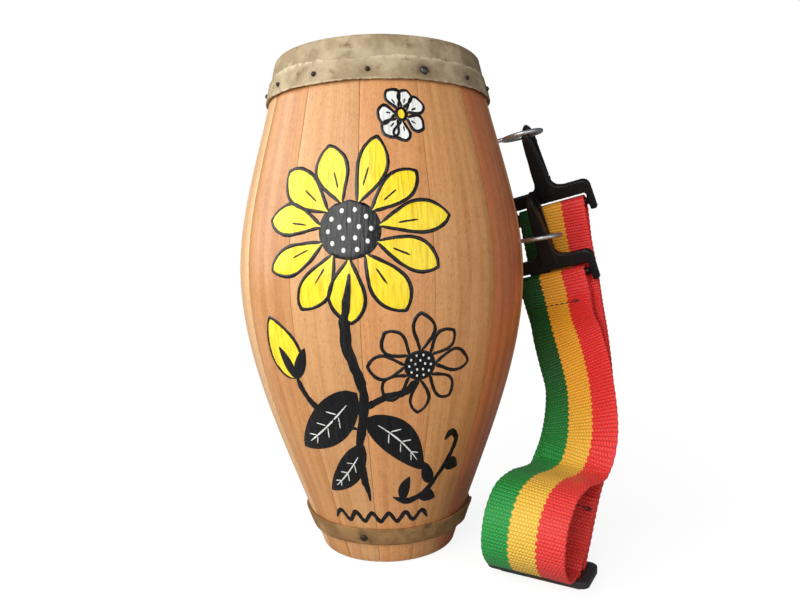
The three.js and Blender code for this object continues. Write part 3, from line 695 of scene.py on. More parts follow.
def makeTacks(finishes):
    first = makeFirstTack()
    lift = 2 * hide["seat"] + hide["thickness"] + hide["strip"]["thick"] - tackPlan["sunk"]
    for index, azimuth in enumerate(tackAngles):
        node, bright = f"head_tack_{index + 1:02d}", index == tackPlan["bright"]
        size = 1.0 if bright else tackPlan["shares"][index % 4]
        place = standOn(azimuth, tackPlan["height"], lift, index * tackPlan["tackTurn"])
        tack = copyPiece(first, f"{node}_head", place @ Matrix.Diagonal((size, size, 1, 1)))
        finishPiece(tack, finishes["dullTack" if bright else "rustyNail"], "drum", "tack_steel", node)
    lift = hide["seat"] + hide["hoop"]["thick"] - tackPlan["sunk"]
    for index, azimuth in enumerate(nailAngles):
        node = f"hoop_nail_{index + 1}"
        place = standOn(azimuth, tackPlan["nailHeight"], lift, index * tackPlan["nailTurn"])
        nail = copyPiece(first, f"{node}_head", place)
        finishPiece(nail, finishes["rustyNail"], "drum", "tack_steel", node)
    bpy.data.objects.remove(first)


finishes = makeHardwareFinishes(makeScuffGroup())
makeTacks(finishes)
print("tacks and nails made")

# screw eyes, bent from wire: height and stand-off in metres, tilt in degrees
eyePlan = {"azimuth": 92, "ring": 0.0102, "wire": 0.0011, "buried": 0.006, "gap": 16, "start": 185, "steps": 44,
           "edge": 0.00025, "eyes": {"upper": (0.2103, 0.004, 12), "lower": (0.157, 0.0022, 9)}}


def makeEyes(material):
    ring, steps, side = eyePlan["ring"], eyePlan["steps"], outward(eyePlan["azimuth"] + 90)
    for level, (height, standOff, tilt) in eyePlan["eyes"].items():
        out = outward(eyePlan["azimuth"]) * cos(radians(tilt)) + Vector((0, 0, sin(radians(tilt))))
        root = fromAxis(eyePlan["azimuth"], barrelRadius(height), height)
        centre = root + out * (standOff + ring + eyePlan["wire"])
        path = [root - out * eyePlan["buried"], root, root + out * standOff * 0.6]
        for step in range(steps + 1):
            angle = radians(eyePlan["start"] + (360 - eyePlan["gap"]) * step / steps)
            path.append(centre + out * ring * cos(angle) + side * ring * sin(angle))
        curve = bpy.data.curves.new(f"{level}_eye_wire", "CURVE")
        curve.dimensions = "3D"
        spline = curve.splines.new("POLY")
        spline.points.add(len(path) - 1)
        for point, place in zip(spline.points, path):
            point.co = (*place, 1)
        curve.bevel_depth = eyePlan["wire"]
        curve.bevel_resolution = 5
        curve.use_fill_caps = True
        piece = addObject(f"{level}_eye_wire", curve)
        selectOnly(piece)
        bpy.ops.object.convert(target="MESH")
        cleanMesh(piece)
        bevelEdges(piece, eyePlan["edge"], 2, 60)
        smooth(piece, 50)
        finishPiece(piece, material, "drum", "zinc_steel", f"{level}_screw_eye")


makeEyes(finishes["brightZinc"])
print("screw eyes made")

# one length of striped webbing, in millimetres from the barrel's axis: across the strap, to the back, and up.
# A stitch row is its station, its face, and its ends in shares of the half width; a dye is its lit colour near the
# floor, then a darker painted shade for the hanging length higher up.
strapPlan = {"yaw": 32, "width": 38, "thickness": 1.3, "layerGap": 0.8, "foldGap": 0.5, "floorGap": 0.4, "lean": 12,
             "bars": {"upper": ((71.732, 67.443, 174.713), 28), "lower": ((74.795, 61.074, 136.730), 20)},
             "barRadius": 2.0, "barAside": -1.2, "slider": (90, -11), "sliderPitch": 9, "sliderBar": (3.2, 3.0),
             "barLift": 0.3, "cut": 4, "hookTail": 2.4, "sliderTail": 6, "curl": 0.358, "tableSteps": 60,
             "ribPitch": 3.2, "ribDepth": 0.12, "ribSteps": (0.0, 0.12, 0.36, 0.64, 0.88), "edgeRound": 0.55,
             "edgeWave": 0.014, "rowPitch": 1.6, "yarnPitch": 1.45, "hangingFrom": 0.03, "hangingFull": 0.1,
             "stitches": {"front": (8.85, 1, -0.7, 0.78), "end": (11.74, -1, -0.73, 1.15)},
             "stitchLength": 2.3, "stitchGap": 0.7, "stitchRadius": 0.32, "stitchSteps": 6, "stitchSides": 6,
             "stitchLift": 0.06, "stitchArch": 0.18, "stitchSunk": 0.1,
             "dyesLitAndShaded": {"green": ((24, 158, 62), (13, 86, 31)), "yellow": ((252, 202, 68), (252, 172, 38)),
                      "red": ((247, 54, 48), (240, 38, 34))}}
upward = Vector((0, 0, 1))
axisPlace = Vector((*barrel["axis"], 0))


def acrossAndBack():
    yaw = radians(strapPlan["yaw"])
    return Vector((cos(yaw), -sin(yaw), 0)), Vector((sin(yaw), cos(yaw), 0))


strapAcross, strapBack = acrossAndBack()


def strapPoint(aside, behind, height):
    return strapAcross * aside + strapBack * behind + upward * height


def curvePoint(points, station):  # centripetal curve through the stations
    first = min(int(station), len(points) - 2)
    share = station - first
    b, c = points[first], points[first + 1]
    a = points[first - 1] if first > 0 else 2 * b - c
    d = points[first + 2] if first + 2 < len(points) else 2 * c - b
    near, span, far = [max((q - p).length, 1e-8) ** 0.5 for p, q in ((a, b), (b, c), (c, d))]
    span = span if span > 1e-4 else 1.0
    near, far = (reach if reach > 1e-4 else span for reach in (near, far))
    start = ((b - a) / near - (c - a) / (near + span) + (c - b) / span) * span
    leave = ((c - b) / span - (d - b) / (span + far) + (d - c) / far) * span
    return (b + start * share + (3 * (c - b) - 2 * start - leave) * share ** 2
            + (2 * (b - c) + start + leave) * share ** 3)


def curveTangent(points, station):
    step = 0.0001 * (len(points) - 1)
    low, high = max(station - step, 0), min(station + step, len(points) - 1)
    return (curvePoint(points, high) - curvePoint(points, low)).normalized()


def makeBars():
    lean = radians(strapPlan["lean"])
    bars = {}
    for level, (place, pitch) in strapPlan["bars"].items():
        turn = radians(pitch)
        rise = upward * cos(lean) - strapAcross * sin(lean)
        bars[level] = {"at": place, "place": strapPoint(*place),
                       "width": strapAcross * cos(lean) + upward * sin(lean),
                       "depth": strapBack * cos(turn) + rise * sin(turn),
                       "shank": rise * cos(turn) - strapBack * sin(turn)}
    return bars


strapBars = makeBars()

# moulded hooks, their gates and the slider: the CAD shape with rounded edges, and each hook's shank drawn
# to a finger; the taper gives a share of the width at heights in millimetres above the strap bar
mouldings = {"upper_snap_hook": ("upper_hook", "blackMoulding", "upper"),
             "upper_hook_gate": ("upper_gate", "blackMoulding", 0.00035),
             "lower_snap_hook": ("lower_hook", "blackMoulding", "lower"),
             "lower_hook_gate": ("lower_gate", "blackMoulding", 0.00035),
             "strap_slider": ("slider", "greyMoulding", 0.0006)}
hookShape = {"voxel": 0.0005, "smoothing": 7, "armMiddle": 22.3, "armSize": (3.4, 4.4, 8.6), "armHeight": -0.7,
             "beamTop": 12.6, "backFrom": 2.6, "backTo": 4.6, "backWidth": 0.62,
             "taper": ((15, 1.0), (22, 1.04), (34, 0.92), (43, 0.78), (50, 0.46))}


def bevelledCopy(piece, edge):
    with editing(piece):
        bpy.ops.mesh.dissolve_limited(angle_limit=radians(3))
    bevelEdges(piece, edge, 3, 42)
    applyModifier(piece, "TRIANGULATE")
    smooth(piece, 38)


def taperAt(height):
    levels = hookShape["taper"]
    for (low, before), (high, after) in zip(levels, levels[1:]):
        if low <= height < high:
            share = (height - low) / (high - low)
            return before + (after - before) * share * share * (3 - 2 * share)
    return levels[0][1] if height < levels[0][0] else levels[-1][1]


def addArms(piece, bar):  # a squarer end for each arm of the frame
    turn = Matrix((bar["width"], bar["depth"], bar["shank"])).transposed().to_4x4()
    size = Matrix.Diagonal((*[length / 1000 for length in hookShape["armSize"]], 1))
    mesh = bmesh.new()
    mesh.from_mesh(piece.data)
    for side in (-1, 1):
        place = bar["place"] + bar["width"] * side * hookShape["armMiddle"] + bar["shank"] * hookShape["armHeight"]
        bmesh.ops.create_cube(mesh, size=1, matrix=Matrix.Translation(axisPlace + place / 1000) @ turn @ size)
    mesh.to_mesh(piece.data)
    mesh.free()


def roundedHook(piece, bar):
    addArms(piece, bar)
    applyModifier(piece, "REMESH", mode="VOXEL", voxel_size=hookShape["voxel"], use_smooth_shade=True)
    applyModifier(piece, "SMOOTH", factor=0.5, iterations=hookShape["smoothing"])
    for vertex in piece.data.vertices:
        offset = (vertex.co - axisPlace) * 1000 - bar["place"]
        aside, behind, height = (offset.dot(bar[way]) for way in ("width", "depth", "shank"))
        share = (behind - hookShape["backFrom"]) / (hookShape["backTo"] - hookShape["backFrom"])
        back = clamped(share) if height > hookShape["beamTop"] else 0
        width = taperAt(height) * (1 - (1 - hookShape["backWidth"]) * back)
        vertex.co += bar["width"] * aside * (width - 1) / 1000


def makeMouldings(finishes):
    for node, (body, finish, shape) in mouldings.items():
        piece = addObject(f"{node}_moulding", nodes[node].data.copy())
        piece.data.name = piece.name
        cleanMesh(piece)
        if shape in strapBars:
            roundedHook(piece, strapBars[shape])
        else:
            bevelledCopy(piece, shape)
        finishPiece(piece, finishes[finish], body, "black_plastic", node)


makeMouldings(finishes)
print("hooks, gates and slider made")


def strapRoute():
    lowerBar = strapBars["lower"]
    lower = lowerBar["at"]
    thick, gap, pitch = strapPlan["thickness"], strapPlan["layerGap"], strapPlan["sliderPitch"]
    half, lean = (thick + gap) / 2, radians(strapPlan["lean"])
    sliderAside, sliderBehind = strapPlan["slider"]
    barDepth, barHeight = strapPlan["sliderBar"]

    def fromHook(aside, behind, height):
        return (lower[0] + aside, lower[1] + behind, lower[2] + height)

    def beside(share, aside, behind):  # beside the line from the slider up to the lower bar
        return (sliderAside + (lower[0] - sliderAside) * share + aside,
                sliderBehind + (lower[1] - sliderBehind) * share + behind, lower[2] * share)

    # stations of the hanging line, each with its twist in degrees
    hang = [(fromHook(-0.1, 7.3, 16.3), 0), (fromHook(3.4, 6.7, -0.7), 2), (fromHook(7.6, -0.2, -17.7), 6),
            (beside(0.716, 11.4, 3.9), 18), (beside(0.58, 14.5, 1.1), 22), (beside(0.4224, 13.8, -0.9), 16),
            (beside(0.272, 7.8, -0.9), 8), (beside(0.1432, 3.4, 0.5), 2), (beside(0.0859, 1.6, 0.7), 0)]
    line = [strapPoint(*place) for place, twist in hang]

    def turned(twist):
        turn = radians(twist)
        return strapAcross * cos(turn) - strapBack * sin(turn)

    def layer(station, offset, aside=0.0, skewed=False):
        along = curveTangent(line, station)
        low, high = hang[floor(station)][1], hang[ceil(station)][1]
        level = turned(low + (high - low) * (station % 1))
        width = (level - along * level.dot(along)).normalized()
        place = curvePoint(line, station) + along.cross(width) * offset + width * aside
        if skewed:  # the weft keeps the lean of the hook's bar
            return place, level * cos(lean) + upward * sin(lean), 1
        return place, width, 0

    def layers(stations, offset):
        return [layer(station, offset) for station in stations]

    def free(aside, behind, height, twist=0.0):
        return strapPoint(sliderAside + aside, sliderBehind + behind, height), turned(twist), 0

    def byHook(aside, behind, height):
        return strapPoint(*fromHook(aside, behind, height)), lowerBar["width"], 1

    def fold(bar, radius, angles, aside=0.0):
        middle = bar["place"] + bar["width"] * aside
        return [(middle + bar["depth"] * radius * cos(a) + bar["shank"] * radius * sin(a), bar["width"], 0)
                for a in map(radians, angles)]

    barFold = strapPlan["barRadius"] + strapPlan["foldGap"] + thick / 2
    loopRadius = hypot(barDepth, barHeight) / 2 + strapPlan["foldGap"] + thick / 2
    under = strapPlan["floorGap"] + thick / 2
    sliderHeight = under + thick + gap + loopRadius
    sliderBar = {"place": strapPoint(sliderAside, sliderBehind, sliderHeight), "width": strapAcross,
                 "depth": strapBack, "shank": upward}
    nearSlot = barDepth / 2 - pitch
    overBar = sliderHeight + barHeight / 2 + strapPlan["barLift"] + thick / 2 + 0.2
    slotMiddle = (nearSlot - loopRadius - thick / 2) / 2
    farSlot = loopRadius + thick + gap
    frontStep = 3 * half + thick
    curl = strapPlan["curl"] * lower[2]
    tail, cut, bottom = strapPlan["hookTail"], strapPlan["cut"], len(hang) - 1
    front = [layer(tail, 4.7 * half, -2.6, True), layer(2, 4.2 * half, -3.6, True), byHook(1.4, 0.1, -8.7),
             *fold(lowerBar, barFold, (-40, 5, 50, 95, 140), strapPlan["barAside"]), byHook(1.4, -3.7, -8.7),
             layer(2, 6.2 * half, -3.6, True), layer(tail, 6.7 * half, -2.6, True),
             layer(3, frontStep + half), layer(cut, frontStep, 3.2)]
    loop = [layer(5, frontStep + half, 5.6), free(9.4, 18.4, 1.02 * curl, 18), free(7.8, 11, 0.99 * curl, 10),
            free(4.3, -3, curl, 2), free(2, -14, 0.94 * curl), free(0.6, -22, 0.78 * curl),
            free(-0.2, -25, 0.58 * curl), free(-0.8, -23.5, 0.38 * curl), free(-0.6, -17.4, 10.8),
            free(0, -pitch - barDepth, overBar), free(0, -pitch, overBar), free(0, nearSlot + 0.1, overBar),
            free(0, slotMiddle - 0.1, sliderHeight + 1.3), free(0, slotMiddle, sliderHeight - 1),
            free(0, slotMiddle + 1.3, under + 1.2), free(0, -barDepth / 2, under), free(0, barDepth / 2, under),
            free(0, farSlot - 1, under + 1.4), free(0, farSlot, sliderHeight),
            *layers(range(bottom, cut - 1, -1), -half)]
    rear = [*layers((3, 2, 1, 0), -half), *fold(strapBars["upper"], barFold, (-28, 17, 62, 107, 152)),
            *layers((0, 1, 2, 3, cut), half)]
    end = [*layers(range(cut + 1, bottom + 1), half), *fold(sliderBar, loopRadius, (0, -45, -90, -135, -180)),
           free(0.3, 1 - loopRadius, sliderHeight + 4.6), *layers((bottom - 1, strapPlan["sliderTail"]), 3 * half)]
    return {"front": front, "loop": loop, "rear": rear, "end": end}


def strapSection():  # from edge to edge on the upper face, then back on the lower, in shares of the half width
    edge = strapPlan["edgeRound"] / (strapPlan["width"] / 2)
    shares = [-1, -1 + edge * 0.12, -1 + edge * 0.45, -1 + edge] + [-0.8 + 0.2 * k for k in range(9)]
    shares += [1 - edge, 1 - edge * 0.45, 1 - edge * 0.12, 1]
    rise = [sqrt(max(0, 1 - (max(abs(u) - 1 + edge, 0) / edge) ** 2)) for u in shares]
    upper = list(zip(shares, rise))
    return upper + [(u, -h) for u, h in reversed(upper[1:-1])]


def makeWebbing():
    material, net, sockets, coordinates = newMaterial("stripedWebbing")
    weave = coordinates["UV"]
    parts = net.add("SeparateXYZ", {0: weave})
    # rows of yarns, each set half a yarn aside of the last
    row = net.times(parts["Y"], 1000 / strapPlan["rowPitch"])
    odd = net.math("MODULO", net.math("FLOOR", row), 2.0)
    inRow = net.math("FRACT", row)
    slant = net.times(net.math("SUBTRACT", inRow, 0.5), net.math("SUBTRACT", 0.5, odd))
    column = net.timesAdd(parts["X"], 1000 / strapPlan["yarnPitch"], net.timesAdd(odd, 0.5, slant))
    acrossYarn = net.between(net.math("PINGPONG", column, 0.5), 0.0, 0.34)
    alongYarn = net.between(net.math("PINGPONG", inRow, 0.5), 0.0, 0.3)
    # three stripes with stepped edges, and their dyes, darkened higher up as painted shade
    stray = net.times(net.noise(weave, (300, 900, 1), 2), 0.0007)
    place = net.math("ADD", parts["X"], net.timesAdd(odd, 0.0006, stray))
    third, middle, soft = strapPlan["width"] / 6000, 0.0006, 0.0001
    toYellow, toRed = (net.between(place, edge - soft, edge + soft) for edge in (middle - third, middle + third))
    # painted shade: each dye goes from its lit colour near the floor to a darker tone up the hanging length, standing
    # in for the drum's shadow on the strap
    height = net.add("SeparateXYZ", {0: coordinates["Object"]})["Z"]
    hangingShare = net.between(height, strapPlan["hangingFrom"], strapPlan["hangingFull"])
    green, yellow, red = (net.mix(hangingShare, tint(*litDye), tint(*new)) for litDye, new in strapPlan["dyesLitAndShaded"].values())
    colour = net.mix(toRed, net.mix(toYellow, green, yellow), red)
    # the yarns stand apart where the webbing curls
    parting = net.timesAdd(hangingShare, -0.4, 0.85)
    bead = net.times(net.timesAdd(net.math("SUBTRACT", acrossYarn, 1.0), parting, 1.0), alongYarn)
    fuzz = net.noise(weave, (2400, 1500, 1))
    tone = net.noise(weave, (60, 30, 1))
    # painted shade in the gaps between the yarns: the colour is darkened there towards a deep tone, and the yarn tops
    # keep the dye
    deep = net.mix(1.0, colour, (0.44, 0.41, 0.41, 1), "MULTIPLY")
    shade = net.timesAdd(fuzz, 0.16, net.timesAdd(bead, -0.55, 0.55))
    shade = net.timesAdd(net.between(tone, 0.4, 0.75), 0.12, shade, clamp=True)
    net.feed(sockets, {"Base Color": net.mix(shade, colour, deep), "Roughness": net.timesAdd(fuzz, 0.2, 0.32),
                       "Sheen Weight": 0.06, "Sheen Roughness": 0.4})
    net.bump(sockets, net.timesAdd(fuzz, 0.25, bead), 0.0003, 0.9)
    return material


def makeThread():
    material, net, sockets, coordinates = newMaterial("darkThread")
    twist = net.add("TexWave", {"Vector": coordinates["Object"], "Scale": 700.0},
                    wave_type="BANDS", bands_direction="DIAGONAL")["Fac"]
    net.feed(sockets, {"Base Color": net.mix(twist, tint(22, 20, 20), tint(58, 50, 48)),
                       "Roughness": net.between(twist, 0.0, 1.0, 0.6, 0.8)})
    net.bump(sockets, twist, 0.0001)
    return material


def routeTable(route):
    stations = [station for stretch in route.values() for station in stretch]
    points = [place for place, width, skew in stations]
    widths = [(width, skew) for place, width, skew in stations]
    steps, lengths, last = strapPlan["tableSteps"], [0.0], points[0]
    for step in range(1, (len(points) - 1) * steps + 1):
        place = curvePoint(points, step / steps)
        lengths.append(lengths[-1] + (place - last).length)
        last = place
    return points, widths, lengths


def stationFor(length, lengths):
    low, high = 0, len(lengths) - 1
    while high - low > 1:
        middle = (low + high) // 2
        low, high = (middle, high) if lengths[middle] <= length else (low, middle)
    share = (length - lengths[low]) / max(lengths[high] - lengths[low], 1e-9)
    start, end = low / strapPlan["tableSteps"], high / strapPlan["tableSteps"]
    return start + (end - start) * clamped(share)


def strapFrame(points, widths, station):
    along = curveTangent(points, station)
    width = curvePoint([direction for direction, skew in widths], station)
    low, high = widths[floor(station)][1], widths[ceil(station)][1]
    skew = low + (high - low) * (station % 1)
    width = (width - along * width.dot(along) * (1 - skew)).normalized()
    return curvePoint(points, station), along, width, along.cross(width).normalized()


def tubeFaces(start, rings, around):  # a closed tube from the first vertex on
    faces = [(start + r * around + s, start + r * around + (s + 1) % around,
              start + (r + 1) * around + (s + 1) % around, start + (r + 1) * around + s)
             for r in range(rings - 1) for s in range(around)]
    ends = [tuple(start + s for s in range(around - 1, -1, -1)),
            tuple(start + (rings - 1) * around + s for s in range(around))]
    return faces + ends


def addStitches(table, first, plan, vertices, faces):
    points, widths = table[:2]
    at, side, low, high = plan
    place, along, width, face = strapFrame(points, widths, first + at)
    half, radius, long = strapPlan["width"] / 2, strapPlan["stitchRadius"], strapPlan["stitchLength"]
    pitch, steps, sides = long + strapPlan["stitchGap"], strapPlan["stitchSteps"], strapPlan["stitchSides"]
    runs = [(low * half + k * pitch, 0.5 * noise.noise(Vector((k * 1.7, at, 0))), 0.0)
            for k in range(int((high - low) * half / pitch))]
    back = runs[-1][0] - 0.4 * pitch
    runs += [(back, 0.9, 0.5), (back, -0.9, -0.5)]  # sewn back at the end
    top = face * side * (strapPlan["thickness"] / 2 + strapPlan["stitchLift"])
    for begin, off, slope in runs:
        faces += tubeFaces(len(vertices), steps + 1, sides)
        for step in range(steps + 1):
            share = step / steps
            arch = sin(pi * share)
            centre = place + width * (begin + long * share) + along * (off * (1 - share) + slope * share) + top
            thin = radius * (0.35 + 0.65 * arch ** 0.5)
            for turn in range(sides):
                a = 2 * pi * turn / sides
                rise = thin * sin(a) + strapPlan["stitchArch"] * arch - strapPlan["stitchSunk"]
                bulge = along * thin * cos(a) + face * side * rise
                vertices.append((centre + bulge) / 1000 + axisPlace)


def strapStretch(name, table, first, last):
    points, widths, lengths = table
    start, end = (lengths[station * strapPlan["tableSteps"]] for station in (first, last))
    pitch, half, broad = strapPlan["ribPitch"], strapPlan["thickness"] / 2, strapPlan["width"] / 2
    ribs = [rib * pitch + share * pitch for rib in range(int(start / pitch), int(end / pitch) + 1)
            for share in strapPlan["ribSteps"] if start + 0.1 < (rib + share) * pitch < end - 0.1]
    section, rows = strapSection(), [start, *ribs, end]
    vertices, uvs = [], []
    for length in rows:
        place, along, width, face = strapFrame(points, widths, stationFor(length, lengths))
        rib = abs(sin(pi * length / pitch))
        swell = 1 - strapPlan["ribDepth"] * (1 - rib ** 0.7)
        side = broad * (1 - strapPlan["edgeWave"] * (1 - rib))
        for u, h in section:
            vertices.append((place + width * u * side + face * h * half * swell) / 1000 + axisPlace)
            uvs.append((u * strapPlan["width"] / 2000, length / 1000))
    faces = tubeFaces(0, len(rows), len(section))
    cloth = len(faces)
    if name in strapPlan["stitches"]:
        addStitches(table, first, strapPlan["stitches"][name], vertices, faces)
        uvs += [(0, 0)] * (len(vertices) - len(uvs))
    piece = meshPiece(f"webbing_{name}", vertices, [], faces)
    for face in piece.data.polygons:
        face.material_index = 0 if face.index < cloth else 1
    addUvs(piece, "weave", uvs)
    faceOutward(piece)
    smooth(piece, 70)
    return piece, (end - start) / 1000


def makeStrap():
    route = strapRoute()
    table = routeTable(route)
    webbing, thread = makeWebbing(), makeThread()
    first, total = 0, 0.0
    for name, stretch in route.items():
        last = len(stretch) - 1 if first == 0 else first + len(stretch)
        piece, length = strapStretch(name, table, first, last)
        piece.data.materials.append(webbing)
        piece.data.materials.append(thread)
        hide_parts(f"strap_{name}")
        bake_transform(piece)
        first, total = last, total + length
    print("webbing made:", round(total, 3), "m")


makeStrap()

# hand-painted flowers on the front, on a flat canvas in millimetres: across from the middle, and height.
# A stem or the vine is a line of points with its width, and a leaf is its root, its tip and its half width.
canvas = {"middle": -5, "radius": 68, "lift": 0.16, "strokeLift": 0.26, "sink": 0.15, "rimLift": 0.02,
          "bloom": {"at": (-7, 163), "petals": 11, "inner": 13, "reach": 40, "width": 6.9, "turn": 8},
          "smallBloom": {"at": (21, 104), "petals": 8, "inner": 7, "reach": 22, "width": 4.9, "turn": 0},
          "paleBloom": {"at": (17, 213), "petals": 7, "inner": 3.4, "reach": 12, "width": 3.9, "turn": 20},
          "stems": [([(-6, 36), (-9, 60), (-4, 90), (-10, 116), (-7, 146)], 4.6),
                    ([(-5, 84), (6, 90), (15, 92), (20, 98)], 3.2),
                    ([(-8, 74), (-24, 80), (-34, 90), (-37, 98)], 3.2)],
          "vine": ([(9, 38), (19, 35.5), (30, 39.5), (38, 48), (44, 58), (45.5, 66), (41.5, 69.5), (38, 66)], 3.2),
          "vineLeaves": [((15, 36), (19, 49)), ((26, 38), (39, 35)), ((34, 44), (27, 56)), ((41, 53), (52, 50))],
          "vineLeafWidth": 3.6,
          "bud": {"at": (-37, 97), "lean": 22, "length": 30, "width": 9.5, "sepal": (7.5, 15, 3.2)},
          "leaves": [((-7, 92), (-45, 62), 10), ((-4, 80), (27, 52), 9), ((-6, 66), (-33, 40), 7)],
          "wave": {"from": -36, "step": 6, "points": 13, "height": 26.5, "swing": (-2.2, 2.6), "width": 2.6},
          "outline": 1.7, "thinOutline": 1.5, "rib": 1.1, "vein": 0.9,
          "uneven": 0.35, "wobble": 0.34, "roughEdge": 0.26}
paintTones = {"yellowPaint": ((250, 222, 48), (226, 184, 30)), "blackPaint": ((10, 10, 12), (26, 26, 30)),
              "whitePaint": ((236, 237, 234), (206, 206, 200))}


def makePaints():
    paints = {}
    for name, (body, thin) in paintTones.items():
        paints[name], net, sockets, coordinates = newMaterial(name)
        brush = net.noise(coordinates["UV"], (620, 60, 1), 3, 0.6)
        pool = net.noise(coordinates["Object"], 160.0)
        net.feed(sockets, {"Base Color": net.mix(net.between(brush, 0.42, 0.72), tint(*body), tint(*thin)),
                           "Roughness": net.between(pool, 0.35, 0.7, 0.2, 0.36),
                           "Specular IOR Level": 0.32, "Coat Weight": 0.12, "Coat Roughness": 0.12})
        net.bump(sockets, net.timesAdd(pool, 0.4, brush), 0.0005, 0.9)
    return paints


def onCanvas(across, height, lift):
    azimuth = canvas["middle"] + degrees(across / canvas["radius"])
    return onBarrel(azimuth, height / 1000, lift / 1000)


def addPatch(store, rows, lift):  # rows of canvas points make one thin closed skin of paint
    vertices, faces, uvs = store
    start, count, wide = len(vertices), len(rows), len(rows[0])
    for level in (1, 0):
        for r, row in enumerate(rows):
            for c, (across, height) in enumerate(row):
                rim = r in (0, count - 1) or c in (0, wide - 1)
                uneven = 1 + canvas["uneven"] * noise.noise(Vector((across * 0.35, height * 0.12, lift * 9)))
                rise = (canvas["rimLift"] if rim else lift * uneven) if level else -canvas["sink"]
                vertices.append(onCanvas(across, height, rise))
                uvs.append((across / 1000, height / 1000))

    def at(level, r, c):
        return start + (0 if level else count * wide) + r * wide + c

    for r in range(count - 1):
        for c in range(wide - 1):
            faces.append((at(1, r, c), at(1, r, c + 1), at(1, r + 1, c + 1), at(1, r + 1, c)))
            faces.append((at(0, r, c), at(0, r + 1, c), at(0, r + 1, c + 1), at(0, r, c + 1)))
    border = [(0, c) for c in range(wide)] + [(r, wide - 1) for r in range(1, count)]
    border += [(count - 1, c) for c in range(wide - 2, -1, -1)] + [(r, 0) for r in range(count - 2, 0, -1)]
    for here, following in zip(border, border[1:] + border[:1]):
        faces.append((at(1, *here), at(0, *here), at(0, *following), at(1, *following)))


def blade(root, tip, halfWidth, bow=0.0, blunt=0.8):  # a petal or leaf between two points
    root, along = Vector(root), Vector(tip) - Vector(root)
    aside = Vector((-along.y, along.x)).normalized()
    rows = []
    for step in range(17):
        t = step / 16
        middle = root + along * t + aside * bow * sin(pi * t)
        half = max(halfWidth * sin(pi * t ** blunt) ** 0.75, 0.06)
        rows.append([tuple(middle + aside * half * (k / 4 - 1)) for k in range(9)])
    return rows


def roundRows(middle, radius, angles, columns, least):
    rows = []
    for a in angles:
        half, height = max(radius * sin(a), least), middle[1] - radius * cos(a)
        rows.append([(middle[0] + half * (c / columns - 1), height) for c in range(2 * columns + 1)])
    return rows


def bladeEdge(rows):
    return [row[0] for row in rows] + [row[-1] for row in reversed(rows)]


def pointBetween(first, second, share):
    return tuple(Vector(first).lerp(Vector(second), share))


def smoothLine(points, steps):
    points = [Vector((*point, 0)) for point in points]
    return [tuple(curvePoint(points, k / steps)[:2]) for k in range((len(points) - 1) * steps + 1)]


def addStroke(store, points, width, seed=0.0, taper=0.25):
    rows, last = [], len(points) - 1
    for k, point in enumerate(points):
        near = Vector(points[min(k + 1, last)]) - Vector(points[max(k - 1, 0)])
        aside = Vector((-near.y, near.x)).normalized()
        press = min(1, k / last / taper + 0.25, (1 - k / last) / taper + 0.25)
        broad, rough = Vector((*point, 0)) * 0.16, Vector((*point, 0)) * 0.75
        left, right = [width / 2 * press * (1 + canvas["wobble"] * noise.noise(broad + edge)
                                            + canvas["roughEdge"] * noise.noise(rough + edge))
                       for edge in (Vector((0, 0, seed)), Vector((0, 0, seed + 50)))]
        rows.append([tuple(Vector(point) + aside * side) for side in (-left, -left / 2, 0, right / 2, right)])
    addPatch(store, rows, canvas["strokeLift"])


def addBloom(fill, line, dots, plan, filled):
    (x, z), inner = plan["at"], plan["inner"]

    def around(turn, radius):
        return x + cos(turn) * radius, z + sin(turn) * radius

    for k in range(plan["petals"]):
        turn = radians(plan["turn"] + 360 * k / plan["petals"])
        root, tip = around(turn, inner * 0.9), around(turn, plan["reach"] * (1 + 0.07 * sin(3 * k + 1)))
        petal = blade(root, tip, plan["width"] * (1 + 0.1 * sin(5 * k)), 1.6 * sin(2 * k + 1), 1.4)
        if filled:
            addPatch(fill, petal, canvas["lift"])
        addStroke(line, bladeEdge(petal), canvas["outline" if filled else "thinOutline"], k, 0.06)
        if filled:
            rib = [pointBetween(root, tip, share) for share in (0.25, 0.35, 0.45, 0.55)]
            addStroke(line, smoothLine(rib, 4), canvas["rib"], k + 40)
    disc = roundRows((x, z), inner, [acos(1 - step / 8) for step in range(17)], 4, 0.06)
    addPatch(line, disc, canvas["strokeLift"])
    # rings of dots on a large middle, one dot on a small one
    rings = ((0.68, 10, 0.085), (0.32, 5, 0.085)) if inner > 5 else ((0.0, 1, 0.62),)
    for ring, count, size in rings:
        for k in range(count):
            middle = around(2 * pi * k / count + ring, inner * ring)
            dot = roundRows(middle, inner * size, [pi * step / 8 for step in range(9)], 3, 0.05)
            addPatch(dots, dot, canvas["strokeLift"] + 0.1)


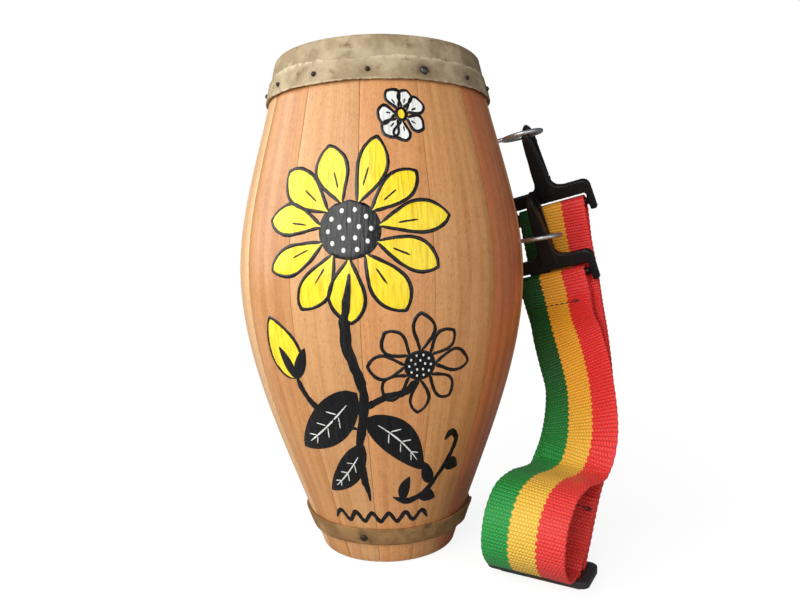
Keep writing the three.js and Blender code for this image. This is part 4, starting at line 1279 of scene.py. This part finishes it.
def addBud(fill, line, bud):
    lean, (x, z) = radians(90 + bud["lean"]), bud["at"]
    shape = blade(bud["at"], (x + cos(lean) * bud["length"], z + sin(lean) * bud["length"]), bud["width"])
    addPatch(fill, shape, canvas["lift"])
    addStroke(line, bladeEdge(shape), canvas["outline"], 60, 0.05)
    aside, height, half = bud["sepal"]
    for side in (-aside, aside):
        addPatch(line, blade(bud["at"], (x + side, z + height), half), canvas["strokeLift"])


def addLeaf(fill, line, index, plan):
    leaf = blade(*plan, 2.5)
    addPatch(fill, leaf, canvas["lift"] + 0.04)
    spine = [row[4] for row in leaf]
    addStroke(line, spine[2:15], canvas["rib"], index + 80, 0.3)
    for row in (5, 8, 11):
        for edge in (1, 7):
            vein = [spine[row], pointBetween(spine[row], leaf[row + 2][edge], 0.8)]
            addStroke(line, smoothLine(vein, 5), canvas["vein"], row + edge, 0.4)


def makePainting(paints):
    yellow, black, white = stores = [([], [], []) for paint in paints]
    for k, (stem, width) in enumerate(canvas["stems"]):
        addStroke(black, smoothLine(stem, 12), width, k, 0.15)
    addBloom(yellow, black, white, canvas["bloom"], True)
    addBloom(yellow, black, white, canvas["smallBloom"], False)
    addBloom(white, black, yellow, canvas["paleBloom"], True)
    vine, width = canvas["vine"]
    addStroke(black, smoothLine(vine, 8), width, 70, 0.1)
    for root, tip in canvas["vineLeaves"]:
        addPatch(black, blade(root, tip, canvas["vineLeafWidth"], 0.8), canvas["strokeLift"])
    addBud(yellow, black, canvas["bud"])
    for k, plan in enumerate(canvas["leaves"]):
        addLeaf(black, white, k, plan)
    wave = canvas["wave"]
    crests = [(wave["from"] + wave["step"] * k, wave["height"] + wave["swing"][k % 2]) for k in range(wave["points"])]
    addStroke(black, smoothLine(crests, 6), wave["width"], 90, 0.06)
    for (name, material), (vertices, faces, uvs) in zip(paints.items(), stores):
        piece = meshPiece(f"painted_{name}", vertices, [], faces)
        addUvs(piece, "brush", uvs)
        smooth(piece, 60)
        piece.data.materials.append(material)
        faceOutward(piece)
        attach(piece, "drum")


makePainting(makePaints())
print("painted flowers made")
